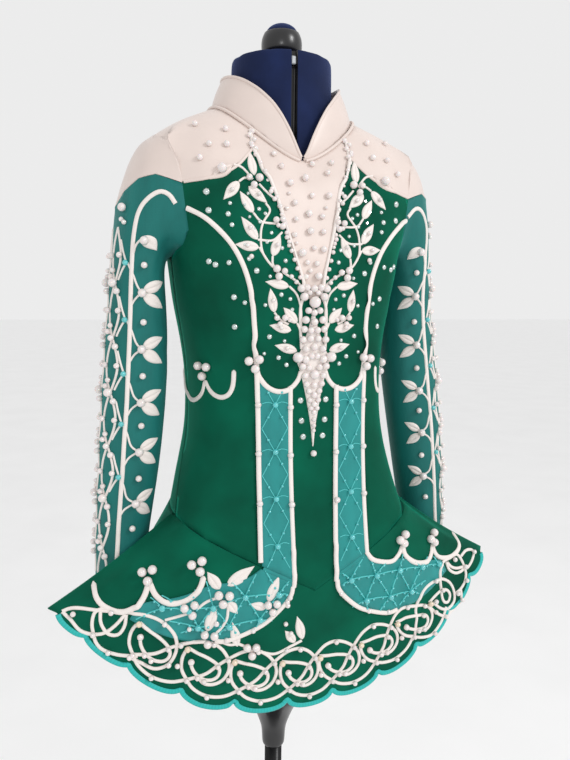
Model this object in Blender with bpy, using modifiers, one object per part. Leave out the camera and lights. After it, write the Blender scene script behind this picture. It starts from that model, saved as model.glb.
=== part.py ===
"""Solo dance dress on a limbless dress form with a stand.
Metres, Z up, the front faces -Y, the wearer's left is +X, and the floor is Z = 0."""

import math

import bpy
import numpy as np
from mathutils import Matrix, Vector

MM = 0.001
BODICE_WALL = 1.8
SATIN_WALL = 1.6
SLEEVE_WALL = 1.5
COLLAR_WALL = 2.0
SKIRT_WALL = 2.2
STRIP_WALL = 1.0
SEAM = 0.2
ARM_SEAM = 0.5
FORM_GAP = 4.8
# The way in which two walls split their shared square edges, so that neighbours agree.
SPLIT_RULE = (0.37, 0.23, 1.0)

# Torso rings from the neck seam down to the waist seam, in millimetres.
BODY_COLUMNS = (
    "half_width", "side_z", "side_y", "front_y", "front_z",
    "back_y", "back_z", "front_round", "back_round", "tilt",
)
BODY = np.array([
    (75.0, 1347, 1, -61.0, 1291, 60, 1350, 0.90, 0.95, 1.5),
    (107.0, 1333, -2, -68.0, 1277, 70, 1325, 0.75, 0.85, 1.8),
    (139.0, 1313, -5, -75.0, 1261, 80, 1297, 0.60, 0.75, 2.0),
    (137.0, 1288, -5, -80.0, 1240, 87, 1270, 0.53, 0.70, 2.0),
    (131.0, 1260, -6, -85.0, 1220, 91, 1245, 0.52, 0.70, 2.0),
    (124.5, 1228, -7, -89.0, 1200, 93, 1217, 0.53, 0.70, 2.0),
    (119.5, 1196, -6, -92.0, 1180, 93, 1188, 0.55, 0.72, 2.0),
    (114.5, 1155, -1, -94.5, 1146, 90, 1152, 0.58, 0.75, 2.0),
    (107.5, 1120, 3, -96.0, 1110, 83, 1118, 0.60, 0.78, 2.0),
    (102.5, 1085, 4, -97.5, 1072, 74, 1083, 0.60, 0.80, 2.0),
    (102.0, 1050, 0, -98.5, 1034, 70, 1048, 0.60, 0.80, 1.6),
    (105.0, 1015, -8, -100.0, 990, 72, 1012, 0.60, 0.80, 1.3),
    (115.0, 975, -20, -104.0, 935, 79, 972, 0.60, 0.80, 1.1),
    (124.5, 937, -40, -111.0, 868, 90, 935, 0.60, 0.80, 1.0),
])
WAIST = len(BODY) - 1

# Sleeve rings from the armhole to the cuff: outer and inner point, half depth and middle.
SLEEVE_COLUMNS = ("outer_x", "outer_z", "inner_x", "inner_z", "half_depth", "middle_y")
SLEEVE = np.array([
    (141.0, 1312, 121.0, 1197, 54.0, -5),
    (152.5, 1306, 123.5, 1193, 52.5, -5),
    (162.0, 1286, 125.5, 1190, 50.0, -5),
    (169.5, 1264, 127.0, 1186, 46.5, -6),
    (175.0, 1243, 127.8, 1179, 43.0, -6),
    (179.0, 1207, 127.0, 1163, 38.5, -7),
    (182.5, 1168, 125.2, 1140, 35.0, -8),
    (187.5, 1115, 124.4, 1098, 33.5, -9),
    (192.5, 1054, 127.0, 1048, 32.0, -10),
    (196.5, 985, 133.8, 983, 30.5, -9),
    (199.0, 930, 142.5, 929, 29.0, -4),
    (200.5, 866, 149.5, 866, 27.5, 0),
])
CUFF = len(SLEEVE) - 1
# How far the wearer's left sleeve hangs further out, by height.
LEFT_LEAN = (
    (866, 18.4), (930, 13.5), (985, 9.0), (1054, 3.5), (1130, -2.5), (1180, -4.0), (1243, -3.0), (1285, 0.0),
)
NO_LEAN = ((866, 0.0),)

# Seam lines on the front, as (x, z).
INSERT_EDGE = (
    (52.0, 1300), (44.0, 1281), (34.4, 1260), (28.0, 1232),
    (21.5, 1204), (13.4, 1178), (5.5, 1156),
)
YOKE_SEAM = ((52.0, 1300), (72.0, 1279), (96.0, 1267.5), (121.5, 1263))
PRINCESS = (
    (118.6, 1241), (104.0, 1230), (88.0, 1214), (76.0, 1199), (67.0, 1180),
    (61.5, 1156), (58.5, 1120), (57.5, 1094), (56.8, 1038), (57.0, 965), (57.8, 899),
)
PRINCESS_TURN = 5
ARMHOLE_FRONT = (
    (131.0, 1301), (124.5, 1283), (121.5, 1263), (118.6, 1241), (115.3, 1222), (115.6, 1207),
)

# Collar top edge, as (x, z) from the front point to the side.
COLLAR_TOP = (
    (0.0, 1293.0), (4.0, 1299.0), (12.0, 1318.0), (21.0, 1335.0), (29.4, 1347.5),
    (40.6, 1360.0), (52.0, 1371.0), (62.0, 1380.0),
)
COLLAR_BACK_Z = 1384.0
COLLAR_HALF_WIDTH = 62.0
COLLAR_FRONT_Y = -62.5
COLLAR_SIDE_Y = 5.0
COLLAR_BACK_Y = 58.5
COLLAR_BULGE = 1.5
COLLAR_OPENING = 0.012

# Scalloped hem of the skirt: x of each notch, from the middle to the corner.
NOTCHES = (25.0, 80.0, 132.0, 180.0, 218.0, 241.5)
HEM_HALF = NOTCHES[-1]
HEM_MIDDLE = np.array([-104.0, 752.5])
HEM_RISE = np.array([49.0, 106.0])
HEM_POWERS = np.array([2.5, 2.25])
SKIRT_SAG = 4.0
# Depth of the scallops across the front hem, by x. They curl in a little at the wearer's right.
SCALLOP = ((-241.5, 6.5), (-183, 7.5), (-110, 12.0), (110, 12.0), (183, 13.5), (241.5, 12.0))
BACK_SCALLOP = 12.0
SCALLOP_POWER = 2.2
LOBE_STEPS = 8
FOLD_TOP = np.array([4.5, 4.0, 0.5])
FOLD_FOOT = np.array([8.5, 10.5, 1.5])

# Plan of the back hem from the wearer's left side to the middle.
BACK_HEM_COLUMNS = ("w", "x", "y", "z")
BACK_HEM = np.array([
    (1.00, 141, -16, 850),
    (1.25, 160, 36, 834),
    (1.50, 156, 98, 812),
    (1.75, 98, 146, 793),
    (2.00, 0, 163, 786),
])
BACK_LOBES = 9
BACK_START = 1.06
BACK_SWELL = 6.0

# Light field on the skirt, as (u across, v down): its edge towards the middle and its outer edge.
TRUMPET_INNER = (
    (0.185, 0.011), (0.20, 0.12), (0.255, 0.26), (0.335, 0.40), (0.457, 0.55),
    (0.56, 0.625), (0.66, 0.685), (0.76, 0.715), (0.85, 0.72),
)
TRUMPET_OUTER = (
    (0.455, 0.011), (0.494, 0.084), (0.556, 0.16), (0.63, 0.20), (0.69, 0.25),
    (0.735, 0.35), (0.78, 0.44), (0.83, 0.50), (0.87, 0.60),
)
# Light strips on the centre front, as (x, z): the scooped top, the inner edge and the outer edge.
STRIP_TOP = ((24.5, 1071.0), (35.0, 1068.0), (46.0, 1071.5), (56.0, 1083.0))
STRIP_INNER = (STRIP_TOP[0], (24.5, 1000.0), (22.4, 882.0))
STRIP_OUTER = (STRIP_TOP[-1], (55.2, 1038.0), (55.4, 965.0), (56.2, 901.0))
WAIST_GAP = 0.02
STRIP_LIFT = 0.9
SKIRT_STRIP_LIFT = 0.7

# Satin cap of the sleeve: degrees from the shoulder line and the ring where it ends.
CAP_LINE = ((0, 4.0), (15, 3.6), (30, 3.0), (45, 2.3), (60, 1.6), (72, 0.9), (83, 0.25), (90, 0.25))
CAP_TURN = 90.0

ZIP_HALF = 3.4
ZIP_CHAIN = 2.6
ZIP_WALL = 1.4
ZIP_TOP = (COLLAR_BACK_Y, COLLAR_BACK_Z - 0.4)
ZIP_NECK = (59.6, 1368.0)
SLIDER_Y = 60.6
SLIDER_Z = (1371.0, 1383.0)
SLIDER_HALF, SLIDER_THICK = 3.5, 2.4
ARCH_HALF, ARCH_Z, ARCH_OUT = 0.8, (1374.4, 1380.6), 5.2
ARCH_GAP_Z, ARCH_GAP_OUT = (1375.4, 1379.6), 4.4
PULL_HALF, PULL_Z, PULL_OUT = 2.6, (1356.0, 1377.9), (2.9, 3.9)
WINDOW_HALF, WINDOW_Z = 1.35, (1372.2, 1376.6)
PULL_AXIS = (0.0, SLIDER_Y + 3.4, 1377.25)

# The dress form: neck rings as (radius, front z, side z), torso rings, and hip rings.
ROUND = 28
SMOOTH_BELOW = math.radians(40)
FORM_ROUND = 32
FORM_SIDE_Y = -8.0
HIP_POWER = 0.75
NECK_SLOPE_POWER = 1.5
FORM_NECK = ((51.5, 1399.0, 1399.0), (53.0, 1397.5, 1397.5), (53.0, 1318.0, 1357.0))
FORM_RINGS = (0.25, 1.0, 2.0, 3.0, 4.0, 5.0, 6.0, 7.5, 9.0, 10.5, 12.0)
FORM_HIPS = (
    (117.0, -102.0, 82.0, 895.0),
    (118.0, -100.0, 84.0, 840.0),
    (115.0, -95.0, 80.0, 775.0),
    (108.0, -88.0, 73.0, 765.0),
)
SLOT_X = -6.0
SLOT_HALF = 3.2
SLOT_FLOOR, SLOT_MOUTH = 46.0, 70.0
SLOT_FOOT, SLOT_TOP = 1306.0, 1405.0
FORM_HUB = (
    (0, 635), (11.5, 635), (13.5, 637), (13.5, 655), (17, 666), (24, 684),
    (34, 699), (36, 706), (36, 764.6), (0, 764.6),
)
FORM_POLE = ((0, 40.4), (10, 40.4), (10, 634.6), (0, 634.6))
FORM_BASE = (
    (0, 0), (215, 0), (220, 3), (220, 8), (213, 12), (60, 15), (28, 21), (20, 26), (20, 40), (0, 40),
)
NECK_KNOB = (
    (0, 1399.4), (14, 1399.4), (14, 1406), (19.5, 1409.5), (21.6, 1413),
    (21.6, 1424), (18.5, 1430), (0, 1430),
)
PIN_CUSHION = ((0, 1430.4), (16.5, 1430.4), (16, 1433), (12.5, 1436.6), (7, 1439.2), (0, 1440))

# Colour, roughness and metallic value of each finish, and the finish of each piece by its name's start.
FINISHES = {
    "velvet": ((0.0, 0.16, 0.09), 0.85, 0.0),
    "satin": ((0.8, 0.69, 0.62), 0.45, 0.0),
    "sleeve_cloth": ((0.01, 0.2, 0.19), 0.6, 0.0),
    "strip_cloth": ((0.04, 0.38, 0.36), 0.45, 0.0),
    "form_cover": ((0.012, 0.02, 0.075), 0.8, 0.0),
    "black_plastic": ((0.015, 0.015, 0.018), 0.35, 0.0),
    "black_metal": ((0.015, 0.015, 0.018), 0.4, 1.0),
    "green_metal": ((0.01, 0.13, 0.09), 0.4, 1.0),
}
PIECE_FINISHES = (
    ("bodice", "velvet"), ("skirt_strip", "strip_cloth"), ("strip", "strip_cloth"),
    ("skirt", "velvet"), ("front_insert", "satin"), ("yoke", "satin"), ("collar", "satin"),
    ("sleeve_cap", "satin"), ("sleeve", "sleeve_cloth"), ("zip", "green_metal"),
    ("form_torso", "form_cover"), ("pin_cushion", "form_cover"), ("form_hub", "black_plastic"),
    ("neck_knob", "black_plastic"), ("form", "black_metal"),
)


def catmull(table, s):
    """The row of a table at a position between its rows."""
    last = len(table) - 1
    s = min(max(s, 0.0), float(last))
    i = min(int(s), last - 1)
    t = s - i
    a, b = table[i], table[i + 1]
    before = table[i - 1] if i > 0 else 2 * a - b
    after = table[i + 2] if i + 2 <= last else 2 * b - a
    m0, m1 = (b - before) / 2, (after - a) / 2
    t2, t3 = t * t, t * t * t
    return (2 * t3 - 3 * t2 + 1) * a + (t3 - 2 * t2 + t) * m0 + (3 * t2 - 2 * t3) * b + (t3 - t2) * m1


QUARTERS = {}


def quarter(s, back):
    """A quarter of a torso ring, from its middle to its side, with its running length."""
    key = (round(s, 6), back)
    if key in QUARTERS:
        return QUARTERS[key]
    row = dict(zip(BODY_COLUMNS, catmull(BODY, s)))
    end = "back" if back else "front"
    turn = np.linspace(0.0, math.pi / 2, 90)
    part = np.sin(turn) ** row[end + "_round"]
    depth = np.cos(turn) ** row[end + "_round"]
    depth[-1] = 0.0
    tilt = 2.0 if back else row["tilt"]
    points = np.stack([
        row["half_width"] * part,
        row["side_y"] + (row[end + "_y"] - row["side_y"]) * depth,
        row[end + "_z"] + (row["side_z"] - row[end + "_z"]) * part ** tilt,
    ], axis=1)
    run = np.concatenate([[0.0], np.cumsum(np.linalg.norm(np.diff(points, axis=0), axis=1))])
    QUARTERS[key] = points, run
    return QUARTERS[key]


def body(w, s):
    """The torso at w, 0 front middle, 1 the wearer's left side, 2 back middle, and at ring s."""
    way = abs(w)
    back = way > 1
    points, run = quarter(s, back)
    along = (2 - way if back else way) * run[-1]
    x, y, z = (np.interp(along, run, points[:, k]) for k in range(3))
    return np.array([math.copysign(x, w), y, z])


def spot(x, z):
    """The (w, s) of the front at this x and z."""
    low, high = 0.0, float(WAIST)
    for _ in range(40):
        s = (low + high) / 2
        row = dict(zip(BODY_COLUMNS, catmull(BODY, s)))
        part = min(abs(x) / row["half_width"], 1.0)
        here = row["front_z"] + (row["side_z"] - row["front_z"]) * part ** row["tilt"]
        low, high = (s, high) if here > z else (low, s)
    points, run = quarter(s, False)
    return np.array([math.copysign(np.interp(abs(x), points[:, 0], run) / run[-1], x), s])


def normal_of(surface, a, b, da, db):
    """The outward normal of a surface by differences, with its second direction running down."""
    across = surface(a + da, b) - surface(a - da, b)
    down = surface(a, b + db) - surface(a, b - db)
    found = np.cross(down, across)
    return found / np.linalg.norm(found)


def body_normal(w, s):
    s = min(max(s, 0.02), WAIST - 0.02)
    side = 1.0 if w >= 0 else -1.0
    w = side * min(max(abs(w), 0.02), 1.98)
    return normal_of(body, w, s, 0.02, 0.02)


def along_path(points, count, scale=(1.0, 1.0)):
    """A path resampled to this many equal steps, measured at this scale."""
    points = np.asarray(points, float)
    sizes = np.linalg.norm(np.diff(points, axis=0) * np.asarray(scale), axis=1)
    run = np.concatenate([[0.0], np.cumsum(sizes)])
    steps = np.linspace(0.0, run[-1], count + 1)
    return np.stack([np.interp(steps, run, points[:, k]) for k in range(points.shape[1])], axis=1)


def front_path(points, count):
    return np.array([spot(x, z) for x, z in along_path(points, count)])


def joined(*paths):
    found = [paths[0]]
    for path in paths[1:]:
        found.append(path[1:])
    return np.concatenate(found)


def coons(top, bottom, left, right):
    """A patch between four borders, as rows from the top to the bottom."""
    u = np.linspace(0, 1, len(top))[None, :, None]
    v = np.linspace(0, 1, len(left))[:, None, None]
    ruled = (1 - v) * top[None] + v * bottom[None] + (1 - u) * left[:, None] + u * right[:, None]
    corners = (1 - u) * (1 - v) * top[0] + u * (1 - v) * top[-1] + (1 - u) * v * bottom[0] + u * v * bottom[-1]
    return ruled - corners


def mirrored(path):
    return path * np.array([-1.0, 1.0])


def new_object(name, points, faces, flip=False):
    """A mesh object from points in millimetres, mirrored to the wearer's right if asked."""
    if flip:
        points = points * np.array([-1.0, 1.0, 1.0])
        faces = [face[::-1] for face in faces]
    mesh = bpy.data.meshes.new(name)
    mesh.from_pydata([tuple(p) for p in points * MM], [], faces)
    mesh.validate()
    smooth(mesh)
    made = bpy.data.objects.new(name, mesh)
    bpy.context.scene.collection.objects.link(made)
    return made


def smooth(mesh):
    mesh.shade_smooth()
    mesh.set_sharp_from_angle(angle=SMOOTH_BELOW)


class Sheet:
    """A surface gathered from grids of points, with one copy of each shared point."""

    def __init__(self):
        self.points, self.normals, self.gaps, self.faces = [], [], [], []
        self.known = {}

    def add_point(self, point, normal, gap):
        key = tuple(np.round(point, 4))
        if key not in self.known:
            self.known[key] = len(self.points)
            self.points.append(point)
            self.normals.append(normal)
            self.gaps.append(gap)
        return self.known[key]

    def add_grid(self, grid, normals, wrap=False, first=SEAM):
        rows, columns = grid.shape[:2]
        index = [
            [self.add_point(grid[i, j], normals[i, j], first if i == 0 else SEAM) for j in range(columns)]
            for i in range(rows)
        ]
        for i in range(rows - 1):
            for j in range(columns if wrap else columns - 1):
                k = (j + 1) % columns
                a, b, c, d = index[i][j], index[i + 1][j], index[i + 1][k], index[i][k]
                self.faces.extend([(a, b, c), (a, c, d)])

    def border(self):
        """The directed edges that belong to one face only."""
        edges = {(f[k], f[(k + 1) % 3]) for f in self.faces for k in range(3)}
        return [(a, b) for a, b in edges if (b, a) not in edges]

    def drawn_in(self, border):
        """The points with the border drawn in square to itself, so that seams leave a gap."""
        points = np.array(self.points)
        ways = {}
        for a, b in sorted(border):
            along = points[b] - points[a]
            for end in (a, b):
                way = np.cross(self.normals[end], along)
                ways.setdefault(end, []).append(way / np.linalg.norm(way))
        moved = points.copy()
        for end, (one, two) in ways.items():
            moved[end] += self.gaps[end] * (one + two) / max(1 + one @ two, 0.6)
        return moved

    def walls(self, wall, lift):
        """Points and triangles of the wall inside this surface."""
        border = self.border()
        normals = np.array(self.normals)
        outer = self.drawn_in(border) + normals * lift
        below = len(outer)
        faces = list(self.faces) + [(c + below, b + below, a + below) for a, b, c in self.faces]
        for a, b in sorted(border):
            a_in, b_in = a + below, b + below
            side = 1.0 if outer[a][0] >= 0 else -1.0
            if (outer[a] - outer[b]) @ (np.array(SPLIT_RULE) * np.array([side, 1.0, 1.0])) > 0:
                faces.extend([(b, a, b_in), (a, a_in, b_in)])
            else:
                faces.extend([(b, a, a_in), (b, a_in, b_in)])
        return np.concatenate([outer, outer - normals * wall]), faces


def shell(names, grid, normals, wall, lift=0.0, wrap=False, first=SEAM):
    """A wall inside a grid of points whose normals face out. A name that ends in _R is the mirror image."""
    sheet = Sheet()
    sheet.add_grid(grid, normals, wrap, first)
    finish_shell(names, sheet, wall, lift)


def finish_shell(names, sheet, wall, lift=0.0):
    points, faces = sheet.walls(wall, lift)
    for name in names:
        new_object(name, points, faces, name.endswith("_R"))


def pair(name):
    return name + "_L", name + "_R"


def body_panel(names, patch, wall, lift=0.0):
    """Torso panels from a patch of (w, s)."""
    shell(names, *on_body(patch), wall, lift)


def on_body(patch):
    """Points and normals of a patch of (w, s)."""
    grid = np.array([[body(w, s) for w, s in row] for row in patch])
    normals = np.array([[body_normal(w, s) for w, s in row] for row in patch])
    return grid, normals


def clear_scene():
    for item in list(bpy.data.objects):
        bpy.data.objects.remove(item)


# Seams shared by neighbouring panels, for the wearer's left. BODY_SCALE is a rough size of one (w, s) step.
BODY_SCALE = (185.0, 30.0)


def back_middle(s):
    """The w of the zip's edge at ring s."""
    return 2 - ZIP_HALF / quarter(s, True)[1][-1]


INSERT_TOP = np.array([np.interp(50.0, quarter(0, False)[0][:, 0], quarter(0, False)[1]), 0.0])
INSERT_TOP[0] /= quarter(0, False)[1][-1]
NECK_FRONT = along_path([(0.0, 0.0), INSERT_TOP], 4)
NECK_SIDE = along_path([INSERT_TOP, (back_middle(0), 0.0)], 16)
APEX = front_path(INSERT_EDGE, 6)
YOKE_LINE = front_path(YOKE_SEAM, 4)
SHOULDER = np.array([1.0, 2.0])
UNDERARM = np.array([1.0, 6.0])
ARM_POINTS = [spot(x, z) for x, z in ARMHOLE_FRONT]
ARM_TOP = along_path([SHOULDER, *ARM_POINTS[:3]], 4, BODY_SCALE)
ARM_STEP = np.array([ARM_POINTS[2], ARM_POINTS[3]])
ARM_LOW = along_path([*ARM_POINTS[3:], UNDERARM], 4, BODY_SCALE)
ARM_FRONT = joined(ARM_TOP, ARM_STEP, ARM_LOW)
ARM_BACK = ARM_FRONT * np.array([-1.0, 1.0]) + np.array([2.0, 0.0])
BACK_YOKE_S = ARM_BACK[4][1]
BACK_YOKE_LINE = along_path([ARM_BACK[4], (back_middle(BACK_YOKE_S), BACK_YOKE_S)], 4)
WAIST_SIDE = np.array([1.0, float(WAIST)])
PRINCESS_HIGH = front_path(PRINCESS[:PRINCESS_TURN + 1], 5)
PRINCESS_LOW = front_path(PRINCESS[PRINCESS_TURN:], 6)
PRINCESS_LOW[-1, 1] = float(WAIST)
PRINCESS_LINE = joined(PRINCESS_HIGH, PRINCESS_LOW)


def level_path(x_from, x_to, z, count):
    return front_path([(x_from, z), (x_to, z)], count)


def bodice_front():
    """The centre front, as a skirtward grid and two chest grids that flank the insert."""
    sheet = Sheet()
    chest = len(YOKE_LINE) - 1
    tip_x, tip_z = INSERT_EDGE[-1]
    tip = level_path(0.0, tip_x, tip_z, 1)
    across = joined(tip, level_path(tip_x, PRINCESS[PRINCESS_TURN][0], tip_z, chest))
    half = np.concatenate([mirrored(across)[::-1], across[1:]])
    foot = along_path([(0.0, float(WAIST)), PRINCESS_LOW[-1]], chest + 1)
    bottom = np.concatenate([mirrored(foot)[::-1], foot[1:]])
    lower = coons(half, bottom, mirrored(PRINCESS_LOW), PRINCESS_LOW)
    sheet.add_grid(*on_body(lower))
    arm = joined(ARM_STEP, PRINCESS_HIGH)
    upper = coons(YOKE_LINE, across[1:], APEX, arm)
    sheet.add_grid(*on_body(upper))
    sheet.add_grid(*on_body(mirrored(upper)[:, ::-1]))
    finish_shell(["bodice_front"], sheet, BODICE_WALL)


def bodice():
    bodice_front()
    side = along_path([UNDERARM, WAIST_SIDE], 11)
    hip = along_path([PRINCESS_LINE[-1], WAIST_SIDE], 4)
    body_panel(pair("bodice_side"), coons(ARM_LOW, hip, PRINCESS_LINE, side), BODICE_WALL)

    back_top = joined(ARM_BACK[::-1][:6], BACK_YOKE_LINE)
    middle = np.array([(back_middle(s), s) for s in np.linspace(BACK_YOKE_S, WAIST, 12)])
    foot = along_path([WAIST_SIDE, middle[-1]], len(back_top) - 1)
    body_panel(pair("bodice_back"), coons(back_top, foot, side, middle), BODICE_WALL)


def satin():
    edge = np.array([INSERT_TOP, *APEX])
    half = [along_path([(0.0, s_of), e], 4) for s_of, e in zip(insert_middle(len(edge)), edge)]
    half[0] = NECK_FRONT
    patch = np.array([np.concatenate([mirrored(row)[::-1], row[1:]]) for row in half])
    body_panel(["front_insert"], patch, SATIN_WALL)

    low = joined(YOKE_LINE, ARM_TOP[::-1], ARM_BACK[:5], BACK_YOKE_LINE)
    share = np.linspace(0, 1, 4)[:, None, None]
    body_panel(pair("yoke"), (1 - share) * NECK_SIDE[None] + share * low[None], SATIN_WALL)


def insert_middle(count):
    """The ring of each row of the insert at the front middle."""
    ends = spot(0.0, INSERT_EDGE[-1][1])[1]
    return np.linspace(0.0, ends, count)


def collar_top_at(w):
    """The collar's upper edge at the same share of its ring as the neck seam."""
    back = w > 1
    share = 2 - w if back else w
    turn = math.pi / 2 * share
    x = COLLAR_HALF_WIDTH * math.sin(turn)
    end = COLLAR_BACK_Y if back else COLLAR_FRONT_Y
    y = COLLAR_SIDE_Y + (end - COLLAR_SIDE_Y) * math.cos(turn)
    if back:
        z = COLLAR_TOP[-1][1] + (COLLAR_BACK_Z - COLLAR_TOP[-1][1]) * math.cos(turn)
    else:
        z = np.interp(x, *zip(*COLLAR_TOP))
    return np.array([x, y, z])


def collar():
    neck = joined(NECK_FRONT, NECK_SIDE)
    neck[0, 0] = COLLAR_OPENING
    low = np.array([body(w, s) for w, s in neck])
    high = np.array([collar_top_at(w) for w, _ in neck])
    share = np.linspace(0, 1, 4)[:, None, None]
    grid = (1 - share) * high[None] + share * low[None]
    bulge = np.sin(share * math.pi) * COLLAR_BULGE
    out = grid - np.array([0.0, COLLAR_SIDE_Y, 0.0])
    out[..., 2] = 0.0
    out /= np.linalg.norm(out, axis=-1, keepdims=True)
    grid = grid + out * bulge
    shell(pair("collar"), grid, grid_normals(grid), COLLAR_WALL)


def grid_normals(grid):
    """Normals of a grid whose rows run down and whose columns run to the wearer's left at the front."""
    across = np.gradient(grid, axis=1)
    down = np.gradient(grid, axis=0)
    found = np.cross(down, across)
    return found / np.linalg.norm(found, axis=-1, keepdims=True)


def sleeve_point(turn, s, lean):
    """The sleeve at turn, 0 outer, 90 degrees front, 180 inner, and at ring s."""
    row = dict(zip(SLEEVE_COLUMNS, catmull(SLEEVE, s)))
    c, n = math.cos(turn), math.sin(turn)
    outer = np.array([row["outer_x"], row["outer_z"]])
    inner = np.array([row["inner_x"], row["inner_z"]])
    middle, reach = (outer + inner) / 2, (outer - inner) / 2
    x, z = middle + reach * c
    x += np.interp(z, *zip(*lean))
    return np.array([x, row["middle_y"] - row["half_depth"] * n, z])


def sleeve_surface(lean):
    """The whole sleeve, which starts at the armhole and takes its own round by ring 2."""
    ring = np.concatenate([ARM_FRONT, ARM_BACK[::-1][1:]])
    hole = np.array([body(w, s) for w, s in ring])
    hole_normals = np.array([body_normal(w, s) for w, s in ring])
    order = np.array([arm_turn(point) % (2 * math.pi) for point in hole])
    order[0], order[-1] = 0.0, 2 * math.pi

    def hole_at(turn):
        return np.array([np.interp(turn, order, hole[:, k]) for k in range(3)])

    def point(turn, s):
        turn = turn % (2 * math.pi)
        own = sleeve_point(turn, s, lean)
        if s >= 2:
            return own
        share = (1 - s / 2) ** 2
        start = sleeve_point(turn, 0, lean)
        return own + (hole_at(turn) - start) * share

    def normal(turn, s):
        inside = min(max(s, 0.05), CUFF - 0.05)
        own = -normal_of(point, turn, inside, 0.03, 0.04)
        if s >= 1:
            return own
        at_hole = np.array([np.interp(turn % (2 * math.pi), order, hole_normals[:, k]) for k in range(3)])
        mixed = own * s + at_hole * (1 - s)
        return mixed / np.linalg.norm(mixed)

    return point, normal, order


def arm_turn(point):
    """The turn round the first sleeve ring that this armhole point stands for."""
    row = dict(zip(SLEEVE_COLUMNS, SLEEVE[0]))
    outer = np.array([row["outer_x"], row["outer_z"]])
    inner = np.array([row["inner_x"], row["inner_z"]])
    reach = (outer - inner) / 2
    away = np.array([point[0], point[2]]) - (outer + inner) / 2
    return math.atan2(-(point[1] - row["middle_y"]) / row["half_depth"], away @ reach / (reach @ reach))


def cap_end(turn):
    """The ring where the satin cap ends at this turn, or 0 under the arm."""
    degrees = math.degrees(turn)
    degrees = min(degrees, 360 - degrees)
    if degrees >= CAP_TURN:
        return 0.0
    return float(np.interp(degrees, *zip(*CAP_LINE)))


def sleeve_rows(point, normal, turns, starts, ends, rows, power=1.0):
    """Points and normals of sleeve rows between two rings at each turn, from the wearer's front."""
    grid, normals = [], []
    for i in range(rows + 1):
        share = (i / rows) ** power
        line = [(t, a + (b - a) * share) for t, a, b in zip(turns, starts, ends)]
        grid.append([point(t, s) for t, s in line])
        normals.append([normal(t, s) for t, s in line])
    return np.array(grid)[:, ::-1], np.array(normals)[:, ::-1]


def sleeves():
    for side, lean in (("L", LEFT_LEAN), ("R", NO_LEAN)):
        point, normal, order = sleeve_surface(lean)
        turns = [*order[-5:-1] - 2 * math.pi, *order[:5]]
        ends = [cap_end(t % (2 * math.pi)) for t in turns]
        grid, normals = sleeve_rows(point, normal, turns, np.zeros(len(turns)), ends, 4)
        shell(["sleeve_cap_" + side], grid, normals, SATIN_WALL)
        turns = list(order[:-1])
        starts = [cap_end(t) for t in turns]
        ends = np.full(len(turns), float(CUFF))
        grid, normals = sleeve_rows(point, normal, turns, starts, ends, 12, 0.92)
        shell(["sleeve_" + side], grid, normals, SLEEVE_WALL, wrap=True, first=ARM_SEAM)


def lobe_drop(share):
    """How far a scallop reaches below its notches at a share of its width, as a share of its depth."""
    return math.sqrt(max(0.0, 1 - abs(2 * share - 1) ** SCALLOP_POWER))


def hem_drop(x):
    """The scallop's reach below the notch line at this x."""
    way, depth = abs(x), np.interp(x, *zip(*SCALLOP))
    if way <= NOTCHES[0]:
        return depth * lobe_drop(0.5 + way / (2 * NOTCHES[0]))
    for low, high in zip(NOTCHES, NOTCHES[1:]):
        if way <= high:
            return depth * lobe_drop((way - low) / (high - low))
    return 0.0


def skirt_hem(u):
    """The hem at u, -1 to 1, on the line of its notches."""
    return np.array([HEM_HALF * u, *(HEM_MIDDLE + HEM_RISE * abs(u) ** HEM_POWERS)])


def waist_at(u):
    """The (w, s) of the front waist seam at u."""
    points, run = quarter(float(WAIST), False)
    w = np.interp(abs(u) * points[-1][0], points[:, 0], run) / run[-1]
    return math.copysign(w, u), float(WAIST)


def skirt_front(u, v):
    """The front skirt at u across and v down from the waist seam to the notch line."""
    top, hem = body(*waist_at(u)), skirt_hem(u)
    sag = math.sin(math.pi * min(v, 1.0)) * SKIRT_SAG * abs(u) ** 1.5
    return top + (hem - top) * v + np.array([0.0, sag * 0.4, -sag])


def hem_reach(u):
    """The v of the scalloped edge at u."""
    return 1 + hem_drop(HEM_HALF * u) / np.linalg.norm(skirt_hem(u) - body(*waist_at(u)))


def lobe_stops():
    half = [0.0]
    edges = (0.0, *NOTCHES)
    for i, (low, high) in enumerate(zip(edges, edges[1:])):
        steps = LOBE_STEPS // 2 if i == 0 else LOBE_STEPS
        half.extend(low + (high - low) * k / steps for k in range(1, steps + 1))
    return [-x / HEM_HALF for x in half[:0:-1]] + [x / HEM_HALF for x in half]


def skirt():
    rows = 5
    stops = lobe_stops()
    grid = np.array([[skirt_front(u, hem_reach(u) * i / rows) for u in stops] for i in range(rows + 1)])
    share = np.linspace(0, 1, rows + 1)[:, None]
    fold = FOLD_TOP + (FOLD_FOOT - FOLD_TOP) * share
    left = grid[:, -1] + fold
    right = grid[:, 0] + fold * np.array([-1.0, 1.0, 1.0])
    grid = np.concatenate([right[:, None], grid, left[:, None]], axis=1)
    normals = grid_normals(grid)
    seam = np.array([body_normal(*waist_at(u)) for u in stops])
    normals[0, 1:-1] = seam
    shell(["skirt_front"], grid, normals, SKIRT_WALL)

    steps = BACK_LOBES * LOBE_STEPS
    grid = []
    for i in range(rows + 1):
        line = []
        for j in range(steps + 1):
            t = 2 * j / steps
            lobe = BACK_SCALLOP * lobe_drop(j % LOBE_STEPS / LOBE_STEPS) if j % LOBE_STEPS else 0.0
            line.append(skirt_back(t, i / rows, lobe))
        grid.append(line)
    grid = np.array(grid)
    normals = grid_normals(grid)
    seam = [body_normal(*back_waist(2 * j / steps)) for j in range(steps + 1)]
    normals[0] = np.array(seam)
    shell(["skirt_back"], grid, normals, SKIRT_WALL)


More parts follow.
